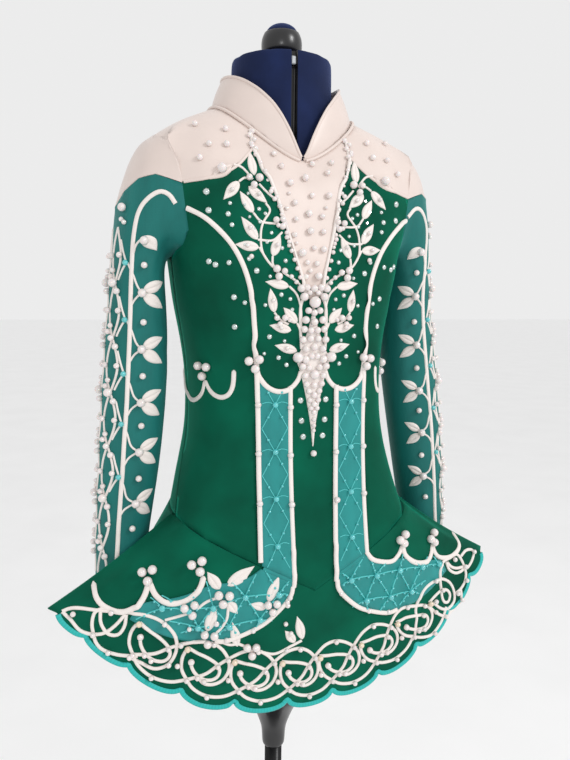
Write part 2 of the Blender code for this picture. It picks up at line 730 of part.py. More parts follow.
def back_waist(t):
    """The waist seam at t, 0 the wearer's left side, 1 the back middle, 2 the right side."""
    w = BACK_START + (2 - BACK_START) * min(t, 2 - t)
    return (w if t <= 1 else -w), float(WAIST)


def skirt_back(t, v, lobe):
    way = min(t, 2 - t)
    top = body(*back_waist(t))
    table = BACK_HEM[:, 1:]
    hem = catmull(table, way * (len(table) - 1))
    if t > 1:
        hem = hem * np.array([-1.0, 1.0, 1.0])
    length = np.linalg.norm(hem - top)
    reach = v * (1 + lobe / length)
    swell = math.sin(math.pi * min(reach, 1.0)) * BACK_SWELL * way
    out = np.array([hem[0] - top[0], hem[1] - top[1], 0.0])
    out /= np.linalg.norm(out)
    return top + (hem - top) * reach + out * swell


def strips():
    """The light strips that lie on the centre front and run on over the skirt."""
    inner, outer = front_path(STRIP_INNER, 7), front_path(STRIP_OUTER, 7)
    top = np.array([spot(x, z) for x, z in STRIP_TOP])
    inner[-1, 1] = outer[-1, 1] = WAIST - WAIST_GAP
    patch = coons(top, along_path([inner[-1], outer[-1]], len(top) - 1), inner, outer)
    body_panel(pair("strip"), patch, STRIP_WALL, STRIP_LIFT + STRIP_WALL)

    near = along_path(TRUMPET_INNER, 9)
    far = along_path(TRUMPET_OUTER, 9)
    share = np.linspace(0, 1, 4)
    patch = np.array([[a + (b - a) * k for k in share] for a, b in zip(near, far)])
    grid = np.array([[skirt_front(u, v) for u, v in row] for row in patch])
    normals = np.array([[normal_of(skirt_front, u, max(v, 0.03), 0.01, 0.02) for u, v in row] for row in patch])
    shell(pair("skirt_strip"), grid, normals, STRIP_WALL, SKIRT_STRIP_LIFT + STRIP_WALL)


def zip_fastener():
    rows = []
    for y, z in (ZIP_TOP, ZIP_NECK):
        rows.append([np.array([x, y, z]) for x in (ZIP_CHAIN, 0.0, -ZIP_CHAIN)])
    for s in np.linspace(0.0, WAIST - WAIST_GAP, 14):
        side = body(2 - ZIP_CHAIN / quarter(s, True)[1][-1], s)
        rows.append([side, body(2.0, s), side * np.array([-1.0, 1.0, 1.0])])
    grid = np.array(rows)
    shell(["zip_chain"], grid, grid_normals(grid), ZIP_WALL)

    slider_out = SLIDER_Y + SLIDER_THICK
    slider = block("zip_slider", (-SLIDER_HALF, SLIDER_HALF), (SLIDER_Y, slider_out), SLIDER_Z)
    arch = block("slider_arch", (-ARCH_HALF, ARCH_HALF), (slider_out - 0.4, SLIDER_Y + ARCH_OUT), ARCH_Z)
    gap_ys = (slider_out + 0.01, SLIDER_Y + ARCH_GAP_OUT)
    gap = block("slider_gap", (-2 * ARCH_HALF, 2 * ARCH_HALF), gap_ys, ARCH_GAP_Z)
    boolean(arch, gap, "DIFFERENCE")
    boolean(slider, arch, "UNION")
    tab = block("zip_pull", (-PULL_HALF, PULL_HALF), (SLIDER_Y + PULL_OUT[0], SLIDER_Y + PULL_OUT[1]), PULL_Z)
    window_ys = (SLIDER_Y, SLIDER_Y + PULL_OUT[1] + 2.0)
    window = block("pull_window", (-WINDOW_HALF, WINDOW_HALF), window_ys, WINDOW_Z)
    boolean(tab, window, "DIFFERENCE")
    move_origin(tab, PULL_AXIS)


def block(name, xs, ys, zs):
    """A box between these limits, in millimetres."""
    low, high = (np.array([limits[k] for limits in (xs, ys, zs)]) * MM for k in (0, 1))
    bpy.ops.mesh.primitive_cube_add(size=1.0)
    made = bpy.context.object
    made.name = name
    made.data.transform(Matrix.Translation((low + high) / 2) @ Matrix.Diagonal((*(high - low), 1.0)))
    return made


def move_origin(made, point):
    """Puts the object's origin at a point, in millimetres, and leaves its mesh in place."""
    place = Vector(point) * MM
    made.data.transform(Matrix.Translation(-place))
    made.location = place


def boolean(target, tool, operation):
    """Applies a Boolean and removes its tool."""
    cut = target.modifiers.new("cut", "BOOLEAN")
    cut.operation = operation
    cut.solver = "EXACT"
    cut.object = tool
    bpy.context.view_layer.update()
    graph = bpy.context.evaluated_depsgraph_get()
    mesh = bpy.data.meshes.new_from_object(target.evaluated_get(graph))
    target.modifiers.remove(cut)
    target.data = mesh
    bpy.data.objects.remove(tool)


def lathe(name, profile):
    """A round solid from (radius, z) points that start and end on the axis, from the bottom up."""
    mesh = bpy.data.meshes.new(name)
    points = [(radius * MM, 0.0, z * MM) for radius, z in reversed(profile)]
    mesh.from_pydata(points, [(k, k + 1) for k in range(len(points) - 1)], [])
    made = bpy.data.objects.new(name, mesh)
    bpy.context.scene.collection.objects.link(made)
    turn = made.modifiers.new("turn", "SCREW")
    turn.steps = turn.render_steps = ROUND
    turn.use_merge_vertices = True
    turn.merge_threshold = 0.0001
    turn.use_smooth_shade = False
    return made


def hip_ring(w, half_width, front_y, back_y, z):
    turn = abs(w) * math.pi / 2
    x = half_width * abs(math.sin(turn)) ** HIP_POWER
    reach = (back_y if abs(w) > 1 else -front_y) - FORM_SIDE_Y * (1 if abs(w) > 1 else -1)
    y = FORM_SIDE_Y - reach * math.copysign(abs(math.cos(turn)) ** HIP_POWER, math.cos(turn))
    return np.array([math.copysign(x, w), y, z])


def form():
    """The torso with its neck, the hub under it, the pole, the base and the neck knob."""
    ways = [2 - 4 * k / FORM_ROUND for k in range(FORM_ROUND)]
    rows = []
    for radius, front_z, side_z in FORM_NECK:
        row = []
        for w in ways:
            turn = w * math.pi / 2
            z = side_z + (front_z - side_z) * max(0.0, math.cos(turn)) ** NECK_SLOPE_POWER
            row.append(np.array([radius * math.sin(turn), -radius * math.cos(turn), z]))
        rows.append(row)
    for s in FORM_RINGS:
        rows.append([body(w, s) - body_normal(w, s) * (BODICE_WALL + FORM_GAP) for w in ways])
    for ring in FORM_HIPS:
        rows.append([hip_ring(w, *ring) for w in ways])
    points = np.array(rows).reshape(-1, 3)
    faces = []
    for i in range(len(rows) - 1):
        for k in range(FORM_ROUND):
            n = (k + 1) % FORM_ROUND
            a, b = i * FORM_ROUND + k, i * FORM_ROUND + n
            faces.append((a, b, b + FORM_ROUND, a + FORM_ROUND))
    last = (len(rows) - 1) * FORM_ROUND
    faces.append(tuple(range(FORM_ROUND))[::-1])
    faces.append(tuple(range(last, last + FORM_ROUND)))
    torso = new_object("form_torso", points, faces)
    slot_xs = (SLOT_X - SLOT_HALF, SLOT_X + SLOT_HALF)
    slot = block("neck_slot", slot_xs, (-SLOT_MOUTH, -SLOT_FLOOR), (SLOT_FOOT, SLOT_TOP))
    boolean(torso, slot, "DIFFERENCE")
    lathe("form_hub", FORM_HUB)
    lathe("form_pole", FORM_POLE)
    lathe("form_base", FORM_BASE)
    lathe("neck_knob", NECK_KNOB)
    lathe("pin_cushion", PIN_CUSHION)


def finish_of(name):
    """The material that belongs to a piece."""
    finish = next(found for start, found in PIECE_FINISHES if name.startswith(start))
    known = bpy.data.materials.get(finish)
    if known:
        return known
    colour, roughness, metallic = FINISHES[finish]
    made = bpy.data.materials.new(finish)
    made.use_nodes = True
    shader = made.node_tree.nodes["Principled BSDF"]
    shader.inputs["Base Color"].default_value = (*colour, 1.0)
    shader.inputs["Roughness"].default_value = roughness
    shader.inputs["Metallic"].default_value = metallic
    return made


def collect():
    """Gives each piece its material and puts all of them in one collection."""
    found = bpy.data.collections.new("dance_dress_on_form")
    bpy.context.scene.collection.children.link(found)
    for piece in list(bpy.data.objects):
        piece.data.materials.clear()
        piece.data.materials.append(finish_of(piece.name))
        for holder in list(piece.users_collection):
            holder.objects.unlink(piece)
        found.objects.link(piece)


def main():
    clear_scene()
    form()
    zip_fastener()
    strips()
    skirt()
    bodice()
    satin()
    collar()
    sleeves()
    collect()


main()
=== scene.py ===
"""Looks of a solo dance dress on its form: cloth shells, raised embroidery, pearls, light and camera.
Tables are in millimetres. The front faces -Y, and the wearer's left is +X."""

import math

import bmesh
import bpy
import numpy as np
from mathutils import Matrix, Vector
from mathutils.bvhtree import BVHTree
from mathutils.kdtree import KDTree


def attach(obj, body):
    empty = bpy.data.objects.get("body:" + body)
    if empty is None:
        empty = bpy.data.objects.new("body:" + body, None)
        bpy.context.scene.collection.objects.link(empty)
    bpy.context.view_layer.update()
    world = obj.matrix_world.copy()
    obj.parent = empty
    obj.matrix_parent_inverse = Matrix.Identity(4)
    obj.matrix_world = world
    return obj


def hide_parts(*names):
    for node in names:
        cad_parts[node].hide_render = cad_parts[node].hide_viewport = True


MM = 0.001
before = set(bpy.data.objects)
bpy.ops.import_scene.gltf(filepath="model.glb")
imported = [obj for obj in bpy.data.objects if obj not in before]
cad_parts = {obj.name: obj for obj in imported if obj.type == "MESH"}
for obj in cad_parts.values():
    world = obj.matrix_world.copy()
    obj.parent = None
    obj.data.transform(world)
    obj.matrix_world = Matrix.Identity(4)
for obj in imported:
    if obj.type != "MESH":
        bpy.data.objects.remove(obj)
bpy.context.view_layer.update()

# Camera: metres and degrees.
CAMERA_PLACE = (-0.2767, -0.7207, 1.160)
CAMERA_HEADING = -21.61
CAMERA_PITCH = -6.93
CAMERA_ROLL = 0.77
CAMERA_LENS = 33.25

# Linear colours.
VELVET = (0.0, 0.112, 0.062)
VELVET_DEEP = (0.0, 0.055, 0.03)
SATIN = (0.72, 0.61, 0.56)
SLEEVE_TEAL = (0.006, 0.150, 0.135)
STRIP_TEAL = (0.018, 0.25, 0.24)
IVORY = (0.84, 0.77, 0.73)
TURQUOISE = (0.015, 0.43, 0.40)
LATTICE_TEAL = (0.10, 0.56, 0.55)
PEARL = (0.80, 0.73, 0.71)
PEARL_TEAL = (0.08, 0.52, 0.53)
STONE = (0.62, 0.68, 0.66)
NAVY = (0.007, 0.015, 0.060)
BLACK = (0.008, 0.008, 0.009)
GREEN_ENAMEL = (0.0, 0.09, 0.055)

# Skirt: the waist seam and the hem, as in the solids.
WAIST_HALF, WAIST_FRONT_Z, WAIST_RISE = 124.5, 868.0, 69.0
HEM_HALF, HEM_FRONT_Z, HEM_RISE, HEM_POWER = 241.5, 752.5, 106.0, 2.25
NOTCHES = (25.0, 80.0, 132.0, 180.0, 218.0, 241.5)
SCALLOP = ((-241.5, 6.5), (-183, 7.5), (-110, 12.0), (110, 12.0), (183, 13.5), (241.5, 12.0))
SCALLOP_POWER = 2.2

# Collar: the neck seam and the top edge, as in the solids.
COLLAR_TOP = (
    (0.0, 1293.0), (4.0, 1299.0), (12.0, 1318.0), (21.0, 1335.0), (29.4, 1347.5),
    (40.6, 1360.0), (52.0, 1371.0), (62.0, 1380.0),
)
COLLAR_BACK_Z = 1384.0


def link(name, mesh):
    made = bpy.data.objects.new(name, mesh)
    bpy.context.scene.collection.objects.link(made)
    return made


# Materials
class Nodes:
    """A short way to build a node material."""

    def __init__(self, name):
        self.material = bpy.data.materials.new(name)
        self.material.use_nodes = True
        self.tree = self.material.node_tree
        self.shader = self.tree.nodes["Principled BSDF"]
        self.place = self.add("ShaderNodeTexCoord")

    def add(self, kind, **settings):
        made = self.tree.nodes.new(kind)
        for key, value in settings.items():
            setattr(made, key, value)
        return made

    def set(self, **values):
        for key, value in values.items():
            socket = self.shader.inputs[key.replace("_", " ")]
            socket.default_value = (*value, 1.0) if isinstance(value, tuple) else value

    def wire(self, source, target):
        self.tree.links.new(source, target)

    def noise(self, scale, detail=3.0, stretch=None):
        made = self.add("ShaderNodeTexNoise")
        made.inputs["Scale"].default_value = scale
        made.inputs["Detail"].default_value = detail
        source = self.place.outputs["Object"]
        if stretch:
            mapping = self.add("ShaderNodeMapping")
            mapping.inputs["Scale"].default_value = stretch
            self.wire(source, mapping.inputs["Vector"])
            source = mapping.outputs["Vector"]
        self.wire(source, made.inputs["Vector"])
        return made.outputs["Fac"]

    def wave(self, scale, axis, source=None, distortion=0.0):
        made = self.add("ShaderNodeTexWave", bands_direction=axis)
        made.inputs["Scale"].default_value = scale
        made.inputs["Distortion"].default_value = distortion
        self.wire(source or self.place.outputs["Object"], made.inputs["Vector"])
        return made.outputs["Fac"]

    def ramp(self, factor, stops):
        made = self.add("ShaderNodeValToRGB")
        while len(made.color_ramp.elements) < len(stops):
            made.color_ramp.elements.new(0.5)
        for element, (place, colour) in zip(made.color_ramp.elements, stops):
            element.position = place
            element.color = (*colour, 1.0)
        self.wire(factor, made.inputs["Fac"])
        return made.outputs["Color"]

    def bump(self, layers):
        """Stacks bumps from (height output, strength, distance in mm)."""
        last = None
        for height, strength, distance in layers:
            made = self.add("ShaderNodeBump")
            made.inputs["Strength"].default_value = strength
            made.inputs["Distance"].default_value = distance * MM
            self.wire(height, made.inputs["Height"])
            if last:
                self.wire(last, made.inputs["Normal"])
            last = made.outputs["Normal"]
        self.wire(last, self.shader.inputs["Normal"])

    def colour(self, output):
        self.wire(output, self.shader.inputs["Base Color"])


def shade(colour, amount):
    return tuple(min(1.0, c * amount) for c in colour)


def velvet():
    m = Nodes("velvet")
    m.set(Roughness=0.85, Sheen_Weight=0.45, Sheen_Roughness=0.35, Specular_IOR_Level=0.12)
    m.set(Sheen_Tint=(0.0, 0.60, 0.38))
    m.colour(m.ramp(m.noise(9.0, 4.0), ((0.32, VELVET_DEEP), (0.60, VELVET), (0.85, shade(VELVET, 1.25)))))
    m.bump(((m.noise(1400.0, 2.0), 0.35, 0.3), (m.noise(70.0, 3.0), 0.25, 0.5)))
    return m.material


def satin():
    m = Nodes("satin")
    m.set(Roughness=0.40, Sheen_Weight=0.15, Sheen_Roughness=0.4, Specular_IOR_Level=0.5)
    tones = ((0.3, shade(SATIN, 0.93)), (0.55, SATIN), (0.8, shade(SATIN, 1.07)))
    m.colour(m.ramp(m.noise(16.0, 3.0), tones))
    weave = m.wave(520.0, "DIAGONAL")
    m.bump(((weave, 0.10, 0.15), (m.noise(30.0, 3.0), 0.12, 0.8)))
    return m.material


def woven(name, colour, rough, ribs, sheen):
    """A close weave with fine upright ribs and a little mottling."""
    m = Nodes(name)
    m.set(Roughness=rough, Sheen_Weight=sheen, Sheen_Roughness=0.4, Specular_IOR_Level=0.3)
    m.set(Sheen_Tint=(0.25, 0.75, 0.72))
    tones = ((0.25, shade(colour, 0.78)), (0.55, colour), (0.85, shade(colour, 1.2)))
    m.colour(m.ramp(m.noise(45.0, 5.0, (1.0, 1.0, 0.35)), tones))
    upright, level = m.wave(ribs, "X"), m.wave(ribs * 0.8, "Z")
    m.bump(((upright, 0.22, 0.25), (level, 0.18, 0.2), (m.noise(900.0), 0.2, 0.2)))
    return m.material


def stitched(name, colour, pitch):
    """Satin stitch that runs across a cord or leaf, by the length stored in its map."""
    m = Nodes(name)
    m.set(Roughness=0.50, Sheen_Weight=0.3, Sheen_Roughness=0.3, Specular_IOR_Level=0.4)
    threads = m.wave(pitch, "X", m.place.outputs["UV"], 1.2)
    # Painted shade and highlight: the colour follows the thread wave that also drives the bump. It is darker
    # in the grooves between threads and a little lighter on their crests.
    m.colour(m.ramp(threads, ((0.0, shade(colour, 0.90)), (0.45, colour), (1.0, shade(colour, 1.03)))))
    m.bump(((threads, 0.35, 0.2), (m.noise(1500.0), 0.2, 0.1)))
    return m.material


def pearly(name, colour):
    m = Nodes(name)
    m.set(Roughness=0.20, Coat_Weight=1.0, Coat_Roughness=0.05, Specular_IOR_Level=0.7)
    m.set(Subsurface_Weight=0.08)
    m.shader.inputs["Subsurface Scale"].default_value = 0.002
    tones = ((0.3, shade(colour, 0.9)), (0.6, colour), (0.85, shade(colour, 1.1)))
    m.colour(m.ramp(m.noise(160.0, 2.0), tones))
    return m.material


def polished(name, colour, rough, metal=0.0, grain=0.0):
    m = Nodes(name)
    m.set(Metallic=metal, Coat_Weight=0.2, Coat_Roughness=0.2)
    worn = m.add("ShaderNodeMapRange")
    worn.inputs["To Min"].default_value = rough * 0.8
    worn.inputs["To Max"].default_value = rough * 1.3
    m.wire(m.noise(35.0, 5.0), worn.inputs["Value"])
    m.wire(worn.outputs["Result"], m.shader.inputs["Roughness"])
    m.colour(m.ramp(m.noise(20.0, 3.0), ((0.3, shade(colour, 0.85)), (0.7, shade(colour, 1.2)))))
    m.bump(((m.noise(700.0, 2.0), grain, 0.1),))
    return m.material


def knitted():
    m = Nodes("form_cover")
    m.set(Roughness=0.85, Sheen_Weight=0.35, Sheen_Roughness=0.4, Specular_IOR_Level=0.2)
    m.set(Sheen_Tint=(0.25, 0.35, 0.8))
    tones = ((0.3, shade(NAVY, 0.7)), (0.6, NAVY), (0.85, shade(NAVY, 1.35)))
    m.colour(m.ramp(m.noise(28.0, 4.0), tones))
    m.bump(((m.wave(330.0, "Z"), 0.3, 0.3), (m.wave(300.0, "X"), 0.2, 0.2), (m.noise(800.0), 0.2, 0.2)))
    return m.material


MATERIALS = {
    "velvet": velvet(),
    "satin": satin(),
    "sleeve_cloth": woven("sleeve_cloth", SLEEVE_TEAL, 0.62, 260.0, 0.25),
    "strip_cloth": woven("strip_cloth", STRIP_TEAL, 0.50, 300.0, 0.2),
    "embroidery": stitched("embroidery", IVORY, 0.30),
    "hem_edge": stitched("hem_edge", TURQUOISE, 0.10),
    "lattice_cord": stitched("lattice_cord", LATTICE_TEAL, 0.2),
    "pearl": pearly("pearl", PEARL),
    "pearl_cream": pearly("pearl_cream", (0.80, 0.66, 0.50)),
    "pearl_teal": pearly("pearl_teal", PEARL_TEAL),
    "stone": polished("stone", STONE, 0.12, 0.6),
    "form_cover": knitted(),
    "black_plastic": polished("black_plastic", BLACK, 0.28, 0.0, 0.05),
    "black_metal": polished("black_metal", BLACK, 0.4, 0.7, 0.2),
    "key_grey": polished("key_grey", (0.42, 0.44, 0.46), 0.4, 0.3),
    "zip_enamel": polished("zip_enamel", GREEN_ENAMEL, 0.35, 0.5, 0.1),
}


def dress_in(made, finish):
    made.data.materials.clear()
    made.data.materials.append(MATERIALS[finish])


# Cloth shells
# Soft creases as lines across a piece: pieces, centre, direction, half length, half width and depth
CREASES = (
    ("bodice_side", (106, -40, 1196), (0.75, -0.35, -0.55), 34, 6.0, -1.3),
    ("bodice_side", (104, -52, 1178), (0.7, -0.4, -0.6), 28, 5.0, 0.9),
    ("bodice_side", (98, -60, 1148), (0.8, -0.5, 0.1), 26, 6.5, -0.6),
    ("bodice_side", (97, -58, 1083), (0.7, -0.7, 0.05), 30, 8.0, -0.8),
    ("bodice_side", (100, -52, 1040), (0.8, -0.5, -0.12), 34, 9.0, 0.7),
    ("bodice_side", (103, 10, 1062), (0.1, 1.0, 0.08), 30, 8.0, -0.8),
    ("bodice_front", (108, -72, 1238), (0.8, 0.2, -0.5), 24, 6.0, -1.1),
    ("bodice_front", (96, -78, 1250), (0.85, 0.1, -0.35), 26, 7.0, 0.9),
    ("bodice_front", (70, -92, 1060), (1.0, 0.2, 0.05), 24, 9.0, -0.5),
    ("bodice_front", (4, -100, 1008), (1.0, 0.0, 0.06), 22, 10.0, -0.5),
    ("bodice_back", (62, 82, 1090), (1.0, -0.2, 0.12), 44, 8.0, -1.2),
    ("bodice_back", (50, 80, 1064), (1.0, -0.2, 0.02), 40, 7.0, 0.9),
    ("bodice_back", (66, 70, 1036), (1.0, -0.3, -0.1), 38, 9.0, -1.0),
    ("bodice_back", (84, 70, 1180), (0.5, -0.3, -0.8), 36, 8.0, -1.0),
    ("yoke", (112, -38, 1316), (0.6, -0.3, -0.7), 22, 6.0, -0.7),
    ("yoke", (100, 50, 1312), (0.7, 0.3, -0.6), 26, 7.0, -0.9),
    ("sleeve_cap", (156, -28, 1290), (0.5, -0.4, -0.7), 18, 5.5, -0.8),
    ("sleeve_cap", (158, 22, 1284), (0.5, 0.4, -0.7), 20, 6.0, -0.8),
    ("sleeve", (150, -48, 1196), (0.9, -0.1, 0.35), 22, 6.0, -1.2),
    ("sleeve", (131, -42, 1208), (0.35, -0.1, -0.93), 26, 6.0, -3.0),
    ("sleeve", (141, -46, 1190), (0.55, -0.1, -0.80), 24, 6.0, 1.6),
    ("sleeve", (142, -42, 1172), (0.9, -0.1, 0.5), 20, 5.0, 0.9),
    ("sleeve", (136, -34, 1106), (0.5, -0.8, 0.25), 20, 7.0, -1.1),
    ("sleeve", (140, -32, 1076), (0.5, -0.8, -0.1), 18, 6.0, 0.9),
    ("sleeve", (146, -34, 1030), (0.8, -0.5, 0.2), 20, 8.0, -0.8),
    ("sleeve", (152, 20, 1100), (0.9, 0.4, 0.3), 26, 8.0, -1.3),
    ("sleeve", (156, 22, 1066), (0.9, 0.4, -0.1), 24, 7.0, 1.0),
    ("sleeve", (176, 20, 1004), (0.7, 0.7, 0.2), 22, 9.0, -1.0),
    ("sleeve", (164, -28, 950), (0.9, -0.3, -0.1), 20, 9.0, -0.7),
    ("skirt_front", (150, -70, 872), (0.75, -0.1, -0.65), 60, 14.0, -1.2),
    ("skirt_front", (96, -96, 848), (0.45, -0.1, -0.9), 50, 13.0, 1.0),
    ("skirt_front", (30, -112, 822), (0.1, -0.1, -1.0), 46, 14.0, -0.9),
    ("skirt_back", (110, 88, 868), (0.5, 0.4, -0.75), 50, 13.0, -1.4),
    ("skirt_back", (60, 116, 860), (0.25, 0.45, -0.85), 52, 13.0, 1.2),
    ("skirt_back", (8, 122, 866), (0.0, 0.45, -0.9), 50, 12.0, -1.2),
)
SIDE_SHIFT = 9.0


def crease_offsets(name, points):
    """How far each point moves out, in millimetres, from the soft creases of its piece."""
    total = np.zeros(len(points))
    for kind, centre, along, reach, width, depth in CREASES:
        if not (name == kind or name in (kind + "_L", kind + "_R")):
            continue
        for side in (1.0, -1.0):
            flip = np.array([side, 1.0, 1.0])
            way = np.array(along) * flip
            way = way / np.linalg.norm(way)
            away = points - np.array(centre) * flip - np.array([0.0, 0.0, SIDE_SHIFT if side > 0 else 0.0])
            run = away @ way
            across = np.linalg.norm(away - run[:, None] * way, axis=1)
            total += depth * np.exp(-(across / width) ** 2) * np.exp(-(run / reach) ** 2)
    return total


# How near a corner lies to the next panel's, and how far a sleeve's rim moves to its armhole, in metres
SEAM_REACH, SEAM_CLOSES = 0.0024, 0.007
ARM_PIT = 1.17
SHARP, SHARP_WHEN_SMOOTHED = math.radians(52), math.radians(50)
FLAT_PAIR, PAIR_SHAPE = math.radians(35), math.radians(60)
SMOOTH_LEVELS = 2


def seam_points():
    """A search tree over the corners of all the cloth solids, and the piece of each."""
    pieces = [name for name, *_ in CLOTH]
    total = sum(len(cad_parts[name].data.vertices) for name in pieces)
    tree, owners = KDTree(total), []
    for name in pieces:
        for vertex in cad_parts[name].data.vertices:
            tree.insert(vertex.co, len(owners))
            owners.append(name)
    tree.balance()
    return tree, owners


def search_tree(meshes):
    """One search tree over several meshes."""
    points, faces = [], []
    for mesh in meshes:
        start = len(points)
        points.extend(v.co.copy() for v in mesh.vertices)
        faces.extend([start + k for k in p.vertices] for p in mesh.polygons)
    return BVHTree.FromPolygons(points, faces)


def smooth_copy(node, seams=None):
    """The node's solid with its facets smoothed, its rims kept, and its seams where they are."""
    grid = bmesh.new()
    grid.from_mesh(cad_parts[node].data)
    bmesh.ops.remove_doubles(grid, verts=grid.verts, dist=2e-6)
    bmesh.ops.join_triangles(
        grid, faces=grid.faces, angle_face_threshold=FLAT_PAIR, angle_shape_threshold=PAIR_SHAPE,
    )
    crease = grid.edges.layers.float.new("crease_edge")
    pinned = grid.verts.layers.float.new("crease_vert")
    for edge in grid.edges:
        if len(edge.link_faces) == 2 and edge.calc_face_angle() > SHARP:
            edge[crease] = 1.0
            for vertex in edge.verts if seams else ():
                if node.startswith("sleeve") and vertex.co.z > ARM_PIT:
                    place, _, _, away = ARM_HOLES.find_nearest(vertex.co)
                    if away < SEAM_CLOSES:
                        vertex.co = place
                        vertex[pinned] = 1.0
                if any(seams[1][k] != node for _, k, _ in seams[0].find_range(vertex.co, SEAM_REACH)):
                    vertex[pinned] = 1.0
    mesh = bpy.data.meshes.new(node + "_looks")
    grid.to_mesh(mesh)
    grid.free()
    made = link(node + "_looks", mesh)
    finer = made.modifiers.new("finer", "SUBSURF")
    finer.levels = finer.render_levels = SMOOTH_LEVELS
    graph = bpy.context.evaluated_depsgraph_get()
    made.data = bpy.data.meshes.new_from_object(made.evaluated_get(graph))
    made.modifiers.clear()
    made.data.shade_smooth()
    made.data.set_sharp_from_angle(angle=SHARP_WHEN_SMOOTHED)
    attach(made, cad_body(node))
    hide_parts(node)
    return made


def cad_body(node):
    """The moving body that a node belongs to."""
    return {"neck_knob": "knob", "pin_cushion": "knob"}.get(node, "root")


def rows_of(mesh, attribute):
    """The position or normal of each corner of a mesh, one to a row."""
    found = np.empty(len(mesh.vertices) * 3, np.float32)
    mesh.vertices.foreach_get(attribute, found)
    return found.reshape(-1, 3).astype(float)


def cloth(node, finish):
    """Replaces a cloth node with a smoothed, softly creased shell."""
    made = smooth_copy(node, SEAMS)
    points, normals = rows_of(made.data, "co"), rows_of(made.data, "normal")
    out = points.copy()
    if node.startswith("sleeve"):
        side = 1.0 if node.endswith("_L") else -1.0
        out -= np.array([arm_axis(z / MM, side) for z in points[:, 2]]) * MM
    out[:, 2] = 0.0
    normals[(normals * out).sum(axis=1) < 0] *= -1.0
    points += normals * (crease_offsets(node, points / MM) * MM)[:, None]
    made.data.vertices.foreach_set("co", points.astype(np.float32).ravel())
    made.data.update()
    dress_in(made, finish)
    return made


# The middle of the sleeve as height, x and y, and how much further out the left one lies by height
ARM_AXIS = (
    (866, 175.0, 0.0), (930, 170.8, -4.0), (985, 166.0, -9.0), (1054, 161.2, -10.0), (1115, 158.0, -9.0),
    (1168, 156.0, -8.0), (1207, 154.0, -7.0), (1243, 151.0, -6.0), (1290, 144.0, -5.0),
)
LEFT_LEAN = (
    (866, 18.4), (930, 13.5), (985, 9.0), (1054, 3.5), (1130, -2.5), (1180, -4.0), (1243, -3.0), (1285, 0.0),
)


def arm_axis(z, side):
    """The middle of the sleeve at this height."""
    heights, xs, ys = zip(*ARM_AXIS)
    x = np.interp(z, heights, xs)
    if side > 0:
        x += np.interp(z, *zip(*LEFT_LEAN))
    return np.array([side * x, np.interp(z, heights, ys), z])


# Each cut: finish, width and length of its flat shape and its area in metres, and its pieces' name ends
ONE, PAIR = ("",), ("_L", "_R")
CUTS = (
    ("bodice_front", "velvet", (0.26, 0.44), 0.0520, ONE),
    ("bodice_side", "velvet", (0.13, 0.35), 0.0340, PAIR),
    ("bodice_back", "velvet", (0.19, 0.35), 0.0520, PAIR),
    ("front_insert", "satin", (0.105, 0.17), 0.0093, ONE),
    ("yoke", "satin", (0.15, 0.25), 0.0235, PAIR),
    ("collar", "satin", (0.15, 0.095), 0.0076, PAIR),
    ("sleeve_cap", "satin", (0.13, 0.085), 0.0076, PAIR),
    ("sleeve", "sleeve_cloth", (0.225, 0.42), 0.0770, PAIR),
    ("strip", "strip_cloth", (0.036, 0.206), 0.0065, PAIR),
    ("skirt_strip", "strip_cloth", (0.155, 0.08), 0.0064, PAIR),
    ("skirt_front", "velvet", (0.51, 0.20), 0.0710, ONE),
    ("skirt_back", "velvet", (0.50, 0.19), 0.0750, ONE),
)
CLOTH = [(cut + end, *about) for cut, *about, ends in CUTS for end in ends]
SEAMS = seam_points()
ARM_HOLES = search_tree(
    [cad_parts[name].data for name, *_ in CLOTH if name.startswith(("bodice", "yoke"))]
)
SHELLS = {node: cloth(node, finish) for node, finish, flat, area in CLOTH}


# Finding places on the cloth
TORSO = search_tree([made.data for name, made in SHELLS.items() if not name.startswith("sleeve")])
ARMS = {
    side: search_tree([SHELLS["sleeve_" + side].data, SHELLS["sleeve_cap_" + side].data]) for side in "LR"
}
ALL_CLOTH = search_tree([made.data for made in SHELLS.values()])
ZIP_BACK = search_tree([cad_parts["zip_chain"].data])
RAY_START, ARM_RAY_START = 0.4, 0.075
BODY_MIDDLE_Y = -0.01
REACH_ABOVE = 0.005
HIGHEST_STEP = 2.4
# How far the work on the left sleeve lies further round, in degrees, by height.
LEFT_TURN = ((866, 9.0), (1160, 12.0), (1215, 5.0), (1250, 0.0))


def hit(tree, start, way):
    place, normal, _, _ = tree.ray_cast(Vector(start), Vector(way))
    if place is None:
        return None
    normal = np.array(normal)
    if normal @ np.array(way) > 0:
        normal = -normal
    return np.array(place), normal


def front(x, z):
    """Place and normal on the front of the dress at x and z."""
    found = hit(TORSO, (x * MM, -RAY_START, z * MM), (0.0, 1.0, 0.0))
    return found if found and found[0][1] < 0.0 else None


def round_body(degrees, z):
    """Place and normal on the torso at an angle from the front middle to the wearer's left."""
    turn = math.radians(degrees)
    way = np.array([-math.sin(turn), math.cos(turn), 0.0])
    return hit(TORSO, np.array([0.0, BODY_MIDDLE_Y, z * MM]) - way * RAY_START, way)


def arm(side, degrees, z):
    """Place and normal on a sleeve, with 0 outermost and 90 at the front."""
    if side == "L":
        degrees += np.interp(z, *zip(*LEFT_TURN))
    turn = math.radians(degrees)
    sign = 1.0 if side == "L" else -1.0
    axis = arm_axis(z, sign) * MM
    way = np.array([-sign * math.cos(turn), math.sin(turn), 0.0])
    return hit(ARMS[side], axis - way * ARM_RAY_START, way)


